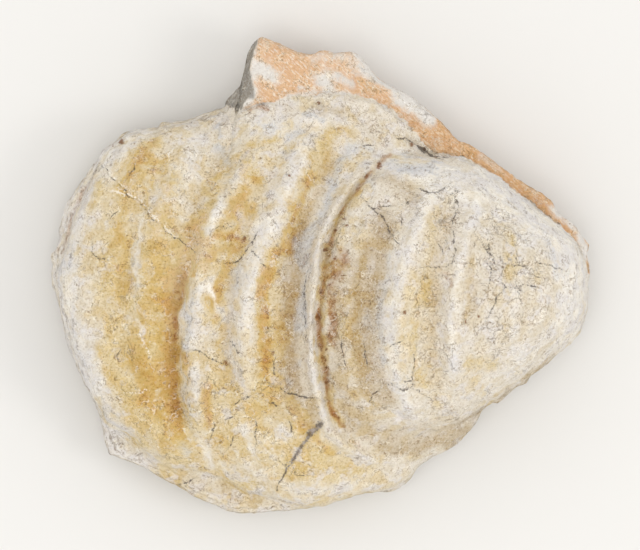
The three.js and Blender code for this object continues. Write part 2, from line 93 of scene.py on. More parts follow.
def through(points, at, period=0.0):
    """Smooth curve through points (x, y, ...) that never overshoots them: a cubic between
    neighbours, whose slope at a point is the harmonic mean of the slopes on its two sides, or
    level where these differ in sign. With a period it closes on itself."""
    p = np.array(sorted(points), float)
    if period:
        turn = np.zeros(p.shape[1])
        turn[0] = period
        p = np.concatenate([p[-2:] - turn, p, p[:2] + turn])
        at = p[1, 0] + (at - p[1, 0]) % period
    width = np.diff(p[:, 0])[:, None]
    rise = np.diff(p[:, 1:], axis=0) / width
    product = rise[:-1] * rise[1:]
    total = np.where(product > 0, rise[:-1] + rise[1:], 1)
    slope = np.vstack([rise[:1], np.where(product > 0, 2 * product / total, 0), rise[-1:]])
    i = np.clip(np.searchsorted(p[:, 0], at, "right") - 1, 0, len(p) - 2)
    t = np.clip((at - p[i, 0]) / width[i, 0], 0, 1)[..., None]
    value = p[i, 1:] * (1 + 2 * t) * (1 - t) ** 2 + p[i + 1, 1:] * t**2 * (3 - 2 * t)
    value = value + width[i] * (slope[i] * t * (1 - t) ** 2 - slope[i + 1] * t**2 * (1 - t))
    return value[..., 0] if value.shape[-1] == 1 else value


def smoothstep(v):
    """0 below 0, 1 above 1 and 3t^2 - 2t^3 between."""
    t = np.clip(v, 0, 1)
    return t * t * (3 - 2 * t)


def parabola(ends, across):
    """The parabola through three values at 0, 1/2 and 1."""
    upper, middle, lower = ends
    s = across
    return upper * (1 - s) * (1 - 2 * s) + middle * 4 * s * (1 - s) + lower * s * (2 * s - 1)


def plan_lattice():
    """Plan places on a grid of rows along the shell and columns across it. A row is the parabola
    through its growth line's three places, taken between the upper and the lower edge; near the
    two ends its X is shifted by the gap between the end's parabola and the true outline."""
    starts = np.cumsum([0] + [line[3] for line in GROWTH_LINES[:-1]]) / ROWS
    along = (np.arange(ROWS + 1) / ROWS)[:, None]
    u = np.arange(COLUMNS + 1) / COLUMNS
    across = (u - EDGE_CROWDING * np.sin(2 * np.pi * u) / (2 * np.pi))[None, :]
    keys = [(start, *line[:3]) for start, line in zip(starts, GROWTH_LINES)]
    ends = np.moveaxis(through(keys, along), -1, 0)
    y = through(UPPER_EDGE, ends[0]) * (1 - across) + through(LOWER_EDGE, ends[2]) * across
    beak = through(BEAK_END, y) - parabola(GROWTH_LINES[0][:3], across)
    outer = through(OUTER_END, y) - parabola(GROWTH_LINES[-1][:3], across)
    x = parabola(ends, across)
    x = x + (1 - smoothstep(along / END_BEND)) * beak
    return x + (1 - smoothstep((1 - along) / END_BEND)) * outer, y


plan_x, plan_y = plan_lattice()
# The lattice's border once round: first column, last row, last column, first row.
grid = np.arange(plan_x.size).reshape(plan_x.shape)
rim_index = np.concatenate([grid[:, 0], grid[-1, 1:], grid[-2::-1, -1], grid[0, -2:0:-1]])
rim_xy = np.column_stack([plan_x.ravel()[rim_index], plan_y.ravel()[rim_index]])


# ---- The stone's relief ---------------------------------------------------------------------
# Two swollen shells, one on the other, with rounded folds that once were growing margins. The
# hinge wing beyond them is a flat, broken face, and the other valve's rim is a low ledge.
UMBO_HEIGHT = 42  # the young shell at the beak, above the floor
SHELL_HEIGHT = 36  # the later, flatter shell
UMBO_SWELL, SHELL_SWELL = 2.2, 1.6  # how full each is: 2 is an ellipse, more is flatter on top
RIM_HEIGHT = 8.5  # where the two valves' margins meet
WING_HEIGHT = 19  # the wing's broken face, at the wing's middle
WING_TILT = (-0.1, -0.03)  # rise of that face for each millimetre along X and Y
WING_MIDDLE = (6, 36)
WING_TUCK = 2  # how far the wing runs in under the shell
CLIFF = 2.6  # rise over run of a broken or worn-back wall
SHELL_FILLET, WING_FILLET, LEDGE_FILLET = 1.2, 0.5, 1.6  # where one form runs into another
# The wing's left edge: Y, X and the slope of the broken wall that falls from it to the outline.
WING_LEFT_EDGE = [
    (34, -15.4, 2), (35.6, -14.1, 1.8), (37, -13.4, 2), (39, -13.7, 3.6), (41, -14, 5),
    (43, -13.6, 5), (46.6, -12.5, 5),
]
# Where the wing meets the shell: X and Y.
HINGE_LINE = [
    (-15.6, 35.6), (-12, 36.6), (-8, 36), (-4, 35.6), (5, 35.2), (10, 34), (14, 31.4), (17, 28.6),
    (19.6, 26.2), (24, 23.8), (28, 23.2), (32, 21.6), (36, 19), (40, 16), (44, 12.6), (48, 9.4),
    (51, 6.4), (52.4, 4),
]
# Round each shell's foot: X, Y, height of the foot, and the wall above it, which is 0.5 for a
# round, steep flank and 1 for a slope that runs out gently.
UMBO_CENTRE = (29, -2)
UMBO_FOOT = [
    (0.4, -5, 33, 1), (0.6, 5, 33, 1), (4, 14, 31.5, 0.95), (10, 21.4, 28.5, 0.85),
    (17, 23.8, 24, 0.7), (23, 23.8, 19.5, 0.6), (28, 23.4, 17.4, 0.55), (32, 21.8, 16.8, 0.55),
    (35.4, 19.6, 16.4, 0.55), (39, 16.8, 16, 0.55), (43, 13.6, 15.8, 0.5), (46, 11.2, 15.5, 0.5),
    (49, 8.8, 15.3, 0.5), (51.8, 5.6, 14, 0.5), (53.8, -1, 9.5, 0.5), (53, -9, 9.5, 0.5),
    (48, -15.4, 10, 0.5), (41.6, -21.2, 10, 0.5), (35, -25.4, 10.5, 0.5), (29, -29.4, 12, 0.5),
    (21, -32.4, 15.5, 0.6), (13, -33.4, 20, 0.7), (6, -32, 25.5, 0.85), (2, -26, 30.5, 1),
    (0.2, -15, 32.5, 1),
]
SHELL_CENTRE = (-5, -3)
SHELL_FOOT = [
    (48, 11, 9, 0.6), (53, -1, 7, 0.6), (48, -15, 8, 0.6), (34, -25.8, 10, 0.6),
    (29.2, -31.8, 11, 0.6), (21.6, -36.8, 12, 0.6), (17, -41.6, 12, 0.55),
    (6, -44.8, 14, 0.5), (0, -46.4, 15, 0.5), (-8, -45, 15.5, 0.5), (-16, -42.6, 15.5, 0.55),
    (-20, -40.4, 15.5, 0.55), (-24, -39.2, 15.5, 0.6), (-31, -38, 15, 0.55), (-34, -36, 15, 0.5),
    (-38, -32.2, 15, 0.5), (-43, -28.5, 15.5, 0.45), (-47.6, -20.6, 15.5, 0.4),
    (-51.2, -10, 15.5, 0.4), (-52.4, -2, 15.5, 0.4), (-50.6, 6, 15.5, 0.4), (-48.4, 13, 16, 0.4),
    (-45, 20, 16, 0.4), (-43, 24.6, 15, 0.42), (-38, 28.4, 14.5, 0.5), (-32, 29.8, 14, 0.55),
    (-25.6, 31.2, 14.5, 0.65), (-19, 33.2, 16, 0.75), (-11.6, 35, 19.2, 0.95), (-4, 35.4, 20.4, 1.1),
    (4, 35.4, 20.6, 1.15), (11, 33.8, 20.5, 1.15), (16, 30.6, 20, 1.1), (21, 25.2, 19, 1),
    (30, 21, 16, 0.8),
]
# The other valve's ledge round the shell: X, Y and height.
LEDGE = [
    (53, 0, 9.6), (48, -15, 10), (34, -26, 10), (28, -33, 11), (17, -41.6, 11.4), (6, -46, 13),
    (-8, -47, 14.2), (-24, -44, 14.2), (-34, -39, 13.2), (-42, -35.8, 12), (-45, -28, 11),
    (-49, -18, 10), (-53.6, 0, 10), (-51, 13, 9.6), (-46, 21, 9.8), (-41, 26.6, 10.4),
    (-30, 30.8, 11), (-19, 34, 10.4), (-14, 43, 10), (-4, 44, 10.4), (12, 39, 10.6), (28, 27, 11),
    (40, 19, 11), (50, 11, 10),
]
# Folds and furrows: height, reach towards the beak, reach outwards, and the path. A path runs
# from the hinge side to the free side, so that the beak is on its left.
FOLDS = [
    # the beak's margin and its fine ribs
    (0.6, 1.6, 1.6, [(46.6, 16.6), (49.6, 9), (51, -1), (49, -12)]),
    (0.4, 1, 1, [(43, 13), (44.6, 4), (45, -5), (43.6, -14)]),
    (0.5, 1.2, 1.2, [(38, 16), (38.6, 6), (38.4, -4), (37, -16)]),
    (-0.6, 1.8, 1.8, [(35, 14), (34, 6), (33, -5), (32, -16)]),
    # first fold and the furrow outside it
    (1.5, 2, 1.5, [
        (34, 21.8), (32, 17), (29.4, 8.6), (27.2, -1), (26, -11), (26, -19), (28.4, -25),
    ]),
    (-1.5, 2, 2, [(28.4, 17), (24.4, 9), (22.8, -2), (22.2, -14), (23, -23.4)]),
    # second fold and the furrow outside it
    (2, 2.9, 2.2, [
        (26.4, 22), (24, 18.6), (20, 10.6), (16.8, 1), (15.8, -9), (16, -18), (18.4, -27.4),
        (22, -33),
    ]),
    (-1.2, 2.6, 3.2, [(15.6, 18), (13.2, 11), (10.6, 1), (8.8, -8.6), (9, -16.6), (11.6, -25)]),
    # small fold
    (0.7, 1.2, 1.2, [(12, 17), (9.6, 11), (8.2, 6), (7, 2)]),
    # the lip of a young margin, with the groove inside it and the furrow outside it
    (-1.7, 1.2, 0.75, [
        (14, 23.4), (11.2, 21.8), (7.4, 17.6), (3.8, 12), (1.5, 7), (0.7, 2), (0, -4), (-0.6, -9),
        (-0.3, -14), (0.7, -19), (1.3, -25), (4, -29.4),
    ]),
    (2.2, 0.9, 1.1, [
        (16.4, 24.6), (10.4, 23), (5.2, 17), (1.4, 10), (-0.5, 4), (-1, -2), (-1.8, -9),
        (-1.7, -15), (-0.8, -22), (1.2, -29), (5, -34), (11, -36.8), (17, -37.8),
    ]),
    (-1.9, 1.8, 2.4, [
        (8, 27.6), (3, 24), (-1, 16), (-3.8, 9), (-5, 1), (-5.5, -7), (-5.8, -14), (-5, -22),
        (-3, -28),
    ]),
    # third fold and the furrow outside it
    (1.9, 2.6, 2.2, [
        (0.4, 31), (-3.4, 23.6), (-6.6, 16.6), (-9.6, 9), (-11.8, 3), (-14.2, -4), (-14.8, -12),
        (-14.6, -20.6), (-13, -29),
    ]),
    (-1.3, 1.9, 2, [
        (-5.4, 27), (-8.4, 22), (-11.6, 16.4), (-14.8, 10.4), (-17.2, 4), (-18.3, -6),
        (-18.2, -15), (-17.4, -25),
    ]),
    # fourth fold, which ends in a step with a steep foot
    (1.8, 3.2, 1.7, [
        (-9.6, 28.4), (-13.2, 24), (-16.8, 18.4), (-20.8, 11.6), (-23.2, 5), (-24, -3.4),
        (-25, -12), (-24.6, -23), (-22.6, -31), (-18, -38),
    ]),
    (-2.2, 1.2, 2.4, [
        (-25.8, 5), (-27.4, -3), (-28.6, -10), (-28.6, -18), (-28, -24.6), (-26, -33),
    ]),
    (-1.4, 1.7, 1.8, [(-16.4, 30), (-19, 25), (-22.2, 19), (-24.8, 12.6), (-27.4, 4)]),
    # fifth fold, the furrow outside it and the shoulder of the outer margin
    (0.9, 2.6, 1.8, [
        (-24.6, 28.6), (-27.4, 22), (-31, 15), (-34, 7.6), (-35.4, 0), (-35.6, -9), (-34.8, -18),
        (-33, -26),
    ]),
    (-0.9, 1.6, 2, [
        (-28, 29.4), (-31.2, 22.4), (-34.6, 15), (-37.2, 8), (-38.6, 0.6), (-39, -8), (-38.4, -17),
        (-37, -25),
    ]),
    (1.3, 3.6, 2.4, [
        (-40.6, 24.6), (-45, 18), (-48, 10), (-50, -3.4), (-46.4, -16.6), (-44, -25), (-41.6, -32),
    ]),
]
# The wing's hollow, its worn upper edge, the crevice at its root, the shell's broken edges, and
# the one deep crack, given in the same way.
BREAKS = [
    (-0.8, 5, 5, [(-10, 41), (-2, 40), (5, 38.4)]),
    (-1.2, 1.3, 1.3, [(6, 44.8), (9, 42.6), (12.4, 39), (15, 37.4)]),
    (-1.0, 1.5, 1.5, [(15, 37.6), (18, 35.6), (21, 33.4)]),
    (-1.6, 0.7, 0.7, [(15.4, 27.2), (18, 26.6), (20, 25), (24, 23.6), (28, 23)]),
    (0.7, 0.5, 2.4, [
        (-15.6, 33.6), (-12, 35.6), (-4, 35.8), (5, 35.6), (10, 34.6), (14, 32.2), (17, 29.2),
        (19.6, 26.8),
    ]),
    (-1.1, 0.6, 0.6, [(-1.6, 34.2), (-0.4, 34.1), (0.8, 34.5)]),
    (-0.8, 0.6, 0.6, [(3, 35), (4.4, 35.2), (6, 34.9)]),
    (-0.9, 0.9, 0.6, [(-43.4, 23.6), (-46.4, 18.6), (-49.4, 12.4), (-51.4, 5), (-51.6, 1)]),
    (-0.5, 0.55, 0.55, [(0.6, -29), (-0.8, -30.4), (-2.2, -31.6), (-3.4, -33.6), (-5.8, -37.4)]),
]
FOLD_FADE = 0.16  # share of a path over which its fold dies out at each end
BREAK_FADE = 0.25


def smooth_path(points, steps=48):
    """The given points joined by a smooth curve, sampled evenly along its chords."""
    p = np.array(points, float)
    run = np.concatenate([[0], np.cumsum(np.hypot(*np.diff(p, axis=0).T))])
    return through(np.column_stack([run, p]).tolist(), np.linspace(0, run[-1], steps + 1))


def nearest(line, xy):
    """Distance to a broken line, the share of it at the nearest place, and +1 or -1 for left or
    right of it: the least, over its pieces, of the distance to the foot of the perpendicular."""
    best = np.full(len(xy), np.inf)
    share = np.zeros(len(xy))
    side = np.ones(len(xy))
    for k, (start, step) in enumerate(zip(line[:-1], np.diff(line, axis=0))):
        rel = xy - start
        t = np.clip(rel @ step / (step @ step), 0, 1)
        off = rel - t[:, None] * step
        distance = np.hypot(off[:, 0], off[:, 1])
        closer = distance < best
        best[closer] = distance[closer]
        share[closer] = (k + t[closer]) / (len(line) - 1)
        side[closer] = np.sign(step[0] * rel[closer, 1] - step[1] * rel[closer, 0])
    return best, share, side


def stroke(xy, beak, outer, path, fade=0.0):
    """A soft stroke along a path, between 0 and 1: exp(-(distance / reach)^2), with one reach on
    the path's left and one on its right. It dies out over a share `fade` of the path at each end,
    and with no fade its ends are round."""
    line = smooth_path(path)
    amount = np.zeros(len(xy))
    margin = 3 * max(beak, outer)  # beyond it the stroke is under 0.0002
    near = ((xy > line.min(0) - margin) & (xy < line.max(0) + margin)).all(axis=1)
    distance, share, side = nearest(line, xy[near])
    ends = smoothstep(share / fade) * smoothstep((1 - share) / fade) if fade else 1
    amount[near] = ends * np.exp(-((distance / np.where(side > 0, beak, outer)) ** 2))
    return amount


def around(places, centre, x, y):
    """Values given at places round a centre, (X, Y, value, ...), joined by a smooth closed curve
    over the direction. The places' distance from the centre is joined in the same way, and last."""
    turns = [
        (np.arctan2(b - centre[1], a - centre[0]), *rest, np.hypot(a - centre[0], b - centre[1]))
        for a, b, *rest in places
    ]
    return np.moveaxis(through(turns, np.arctan2(y - centre[1], x - centre[0]), 2 * np.pi), -1, 0)


def dome(x, y, centre, top, foot, power):
    """A swollen shell: foot + (top - foot) (1 - q^power)^wall, with q the share of the way from
    the centre to the foot in that direction, and a cliff beyond the foot."""
    low, wall, reach = around(foot, centre, x, y)
    out = np.hypot(x - centre[0], y - centre[1])
    q = np.minimum(out / reach, 1)
    return low + (top - low) * (1 - q**power) ** wall - CLIFF * np.maximum(out - reach, 0)


def wing(x, y):
    """A tilted plane with a steep wall on its left and, out of sight, a cliff under the shell."""
    face = WING_HEIGHT + WING_TILT[0] * (x - WING_MIDDLE[0]) + WING_TILT[1] * (y - WING_MIDDLE[1])
    under = through(HINGE_LINE, x) - WING_TUCK - y
    edge, slope = np.moveaxis(through(WING_LEFT_EDGE, y), -1, 0)
    return face - slope * np.maximum(edge - x, 0) - CLIFF * np.maximum(under, 0)


def smooth_max(a, b, width):
    """The larger of two heights, with the crease between them filled to a fillet."""
    blend = np.maximum(width - np.abs(a - b), 0) / width
    return np.maximum(a, b) + blend**2 * width / 4


def lattice_noise(p, seed):
    """Gradient noise in space, about -1 to 1: a pseudo-random direction at each lattice corner,
    dotted with the way to the point and blended by smootherstep."""
    cell = np.floor(p).astype(np.int64)
    f = p - cell
    fade = f * f * f * (f * (f * 6 - 15) + 10)
    total = np.zeros(len(p))
    for corner in np.ndindex(2, 2, 2):
        c = cell + corner
        h = (c[:, 0] * 374761393 + c[:, 1] * 668265263 + c[:, 2] * 2147483647 + seed * 974634777)
        h = (h ^ (h >> 13)) * 1274126177 & 0xFFFFFFFF
        h = (h ^ (h >> 16)) & 0xFFFF
        turn, lift = (h & 0xFF) / 256 * 2 * np.pi, (h >> 8) / 128 - 1
        flat = np.sqrt(np.maximum(1 - lift**2, 0))
        way = f - corner
        dot = flat * (np.cos(turn) * way[:, 0] + np.sin(turn) * way[:, 1]) + lift * way[:, 2]
        weight = np.where(corner, fade, 1 - fade).prod(axis=1)
        total += weight * dot
    return total * 1.6


def rough(p, size, seed, octaves=3, keep=0.5):
    """Octaves of gradient noise: the first has features of the given size, in millimetres, and
    each next one half the size and `keep` times the height."""
    total = np.zeros(len(p))
    for k in range(octaves):
        total += keep**k * lattice_noise(p * 2**k / size + 17.3 * k, seed + k)
    return total


def rim_height(x, y):
    """Height of the line where the two valves' margins meet: level, with a slow wave."""
    return RIM_HEIGHT + 0.6 * np.sin(0.06 * x - 0.09 * y + 0.5)


def inward(xy):
    """Distance from the outline."""
    return nearest(np.vstack([rim_xy, rim_xy[:1]])[::4], xy)[0]


def top_height(xy):
    """The shells and their folds, the wing and the ledge, each laid over the last by smooth_max."""
    x, y = xy.T
    shell = dome(x, y, SHELL_CENTRE, SHELL_HEIGHT, SHELL_FOOT, SHELL_SWELL)
    umbo = dome(x, y, UMBO_CENTRE, UMBO_HEIGHT, UMBO_FOOT, UMBO_SWELL)
    z = smooth_max(shell, umbo, SHELL_FILLET)
    for height, beak, outer, path in FOLDS:
        z = z + height * stroke(xy, beak, outer, path, FOLD_FADE)
    z = smooth_max(z, wing(x, y), WING_FILLET)
    for height, beak, outer, path in BREAKS:
        z = z + height * stroke(xy, beak, outer, path, BREAK_FADE)
    ledge = around(LEDGE, SHELL_CENTRE, x, y)[0]
    return smooth_max(z, ledge, LEDGE_FILLET)


# ---- The stone's mesh -----------------------------------------------------------------------
# One closed skin: the folded top, a wall of thin lamellae all round it, and the other valve's
# back, worn flat where it rests.
WALL_LEVELS = 18
LEAF, LEAF_DEPTH = 1.9, 0.7  # the leaves' thickness, and how deep the joints between them are worn
EDGE_ROUND = 2.2  # rounding of the upper rim
LEAST_ROUND = 0.4
LOWEST_EDGE = 9  # the rounding never cuts below this height
BACK_ROUND = 25  # how far in from the rim the underside curves down to its flat
LUMP_HEIGHT, LUMP_SIZE = 0.5, 16  # low lumps of weathering
LUMPS_FADE_IN = 6  # distance from the outline over which they start
DEEPEST_WEAR = 0.7


def quarter_round(share):
    """Height of a quarter circle over its run: sqrt(1 - (1 - share)^2)."""
    return np.sqrt(1 - (1 - np.clip(share, 0, 1)) ** 2)


top_xy = np.column_stack([plan_x.ravel(), plan_y.ravel()])
top_in = inward(top_xy)
top_in[rim_index] = 0
top_z = top_height(top_xy)
flat_noise = np.column_stack([top_xy, np.zeros(len(top_xy))])  # where noise is read in plan
lumps = rough(flat_noise, LUMP_SIZE, seed=3, octaves=2)
top_z += LUMP_HEIGHT * lumps * smoothstep(top_in / LUMPS_FADE_IN)
# The upper edge is rounded by a quarter circle, whose radius wanders along the edge.
edge_round = EDGE_ROUND * (1 + 0.5 * rough(flat_noise, 9, seed=11, octaves=2))
edge_round = np.maximum(np.minimum(edge_round, top_z - LOWEST_EDGE), LEAST_ROUND)
top_z -= edge_round * (1 - quarter_round(top_in / edge_round))

shape = plan_x.shape
top_corners = [grid[:-1, :-1], grid[1:, :-1], grid[1:, 1:], grid[:-1, 1:]]
quads = [np.stack(top_corners, axis=-1).reshape(-1, 4)]
points = [np.column_stack([top_xy, top_z])]

# The wall drops in levels from the top's border to the line where the two valves meet.
ring = len(rim_index)
rim_top = top_z[rim_index]
rim_low = rim_height(*rim_xy.T)
ring_next = np.roll(np.arange(ring), -1)
ring_way = np.roll(rim_xy, -1, axis=0) - np.roll(rim_xy, 1, axis=0)
ring_in = np.column_stack([-ring_way[:, 1], ring_way[:, 0]])  # towards the inside
ring_in /= np.linalg.norm(ring_in, axis=1)[:, None]
levels = [rim_index]
first = plan_x.size
for level in range(1, WALL_LEVELS + 1):
    share = level / WALL_LEVELS
    z = rim_top + (rim_low - rim_top) * share
    # Each leaf stands out at its top and is worn back at its foot, less so where the wall is low.
    wave = rough(np.column_stack([rim_xy, z]) * [1, 1, 0.4], 11, seed=91, octaves=2)
    draw_in = LEAF_DEPTH * (1 - (z + 0.9 * wave) / LEAF % 1) ** 1.5
    draw_in *= np.minimum(1, 4 * share * (1 - share) + 0.2) * np.minimum(1, (rim_top - rim_low) / 4)
    points.append(np.column_stack([rim_xy + ring_in * draw_in[:, None], z]))
    levels.append(first + np.arange(ring))
    first += ring
for upper, lower in zip(levels[:-1], levels[1:]):
    quads.append(np.column_stack([upper, lower, lower[ring_next], upper[ring_next]]))

# The back takes every second row and column. Its border cells take in the wall's extra corners.
back_xy = top_xy.reshape(*shape, 2)[2:-2:2, 2:-2:2].reshape(-1, 2)
back_z = rim_height(*back_xy.T) * (1 - quarter_round(inward(back_xy) / BACK_ROUND))
points.append(np.column_stack([back_xy, back_z]))
full = np.full(shape, -1)
full.ravel()[rim_index] = levels[-1]
full[2:-2:2, 2:-2:2] = first + np.arange(len(back_xy)).reshape(full[2:-2:2, 2:-2:2].shape)
round_cell = [(0, 0), (0, 1), (0, 2), (1, 2), (2, 2), (2, 1), (2, 0), (1, 0)]  # its corners
rows, columns = shape[0] - 2, shape[1] - 2
cells = [full[i : i + rows : 2, j : j + columns : 2] for i, j in round_cell]
cells = np.stack(cells, axis=-1).reshape(-1, 8)
back_faces = np.split(cells[cells >= 0], np.cumsum((cells >= 0).sum(axis=1))[:-1])
faces = [*np.concatenate(quads).tolist(), *back_faces]

points = np.concatenate(points)
stone_mesh = bpy.data.meshes.new("fossil_stone")
stone_mesh.from_pydata(points.tolist(), [], faces)

# Weathering: shallow dimples of several sizes, fine growth lines along the rows, and crumbs
# where the wing breaks off the shell. It moves each point along its normal, but not the flat.
normals = np.empty(points.size)
stone_mesh.vertex_normals.foreach_get("vector", normals)
normals = normals.reshape(-1, 3)
xy = points[:, :2].copy()
xy[: plan_x.size] = top_xy
x, y = xy.T
shell_face = np.maximum(
    dome(x, y, SHELL_CENTRE, SHELL_HEIGHT, SHELL_FOOT, SHELL_SWELL),
    dome(x, y, UMBO_CENTRE, UMBO_HEIGHT, UMBO_FOOT, UMBO_SWELL),
)
wing_face = wing(x, y)
dimples = 0.24 * rough(points, 5, seed=21, octaves=2)
dimples += 0.18 * rough(points, 1.9, seed=31, octaves=2, keep=0.6)
row_share = np.repeat(np.arange(shape[0]), shape[1]) / ROWS
wobble = rough(flat_noise, 12, seed=41, octaves=2)
growth = np.zeros(len(points))
growth[: plan_x.size] = np.sin(2 * np.pi * (46 * row_share + 0.9 * wobble)) * (1 + wobble) / 2
crumbly = np.exp(-((wing_face - shell_face) ** 2)) * smoothstep((wing_face - 14) / 2)
crumbs = 0.7 * crumbly * rough(points, 1.6, seed=45, octaves=2, keep=0.7)
worn = np.clip(dimples + 0.05 * growth + crumbs, -DEEPEST_WEAR, DEEPEST_WEAR)
points += normals * (worn * smoothstep(points[:, 2] / 1.5))[:, None]
stone_mesh.vertices.foreach_set("co", (points * MM).ravel())
stone_mesh.update()
stone_mesh.shade_smooth()
stone = bpy.data.objects.new("fossil_stone", stone_mesh)
bpy.context.collection.objects.link(stone)
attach(stone, "root")
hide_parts("fossil_bivalve")


# ---- Stains, spots and cracks ---------------------------------------------------------------
# Iron-bearing water left ochre in the furrows and brown in the young margin's groove, and crests are
# rubbed white. The white list also holds painted light, and the tan and grey lists hold painted
# shade. A stain is soft strokes: amount, reach beakwards, reach outwards, and path.
CREAM = [
    # on the beak
    (0.35, 0.8, 0.8, [(46, 8), (45, 3)]),
    (0.5, 1.2, 1, [(38.4, 10.2), (37.6, 5), (37.2, 0)]),
    (0.25, 0.7, 0.7, [(37.6, 2.6), (44, 2.2), (51, 0.6)]),
    (0.4, 0.9, 0.9, [(42.8, 0.6), (42.2, -4)]),
    (0.3, 3.2, 3.2, [(37, 12), (37.6, -3), (36, -17)]),
    # on the beak's two broad folds
    (0.45, 1, 1, [(30.4, 3), (29.6, -3), (29.4, -8)]),
    (0.5, 3, 2.6, [(24, 15), (21.6, 1), (21.8, -13), (24, -25)]),
    (0.6, 1.6, 1.6, [(18, 0), (16.8, -8), (17, -19)]),
    (0.6, 1.4, 1.4, [(29.6, -17.4), (31.2, -23.4), (34.4, -25.8)]),
    # on the young shell's flank and in its groove
    (0.4, 2.8, 2.8, [(8, 6), (6, -11), (8, -22)]),
    # on the lip and the third fold
    (0.6, 5.2, 4, [(2, 29), (-6, 13), (-10.4, -5), (-10, -21)]),
    (0.8, 8, 8, [(-20, -21), (-17, -29), (-6, -36), (5, -39)]),
    # on the fourth fold and its step
    (0.35, 8, 8, [(-29, 21), (-19, 24), (-6, 25)]),
    (0.6, 3.6, 4.4, [(-11.6, 19), (-17, 8), (-20.4, -5)]),
    (0.5, 2, 2, [(-23.6, -5), (-23, -9)]),
    (0.8, 2.4, 2.4, [(-18, -40.6), (-14, -42)]),
    (0.35, 3.4, 3.4, [(-30, -42), (-16, -45), (0, -45.6)]),
    # on the outer shell
    (0.9, 5.2, 6, [(-34, 5), (-32.4, -11), (-31, -25), (-28, -35)]),
    (0.5, 2, 2, [(-33, -38.4), (-31.6, -39.4)]),
    # along the old margin
    (0.8, 2, 2, [(-43.6, 20), (-46.2, 14)]),
    (0.7, 7, 5, [(-39, 22), (-41.6, 9), (-42, -5), (-39.6, -19), (-34, -30)]),
]
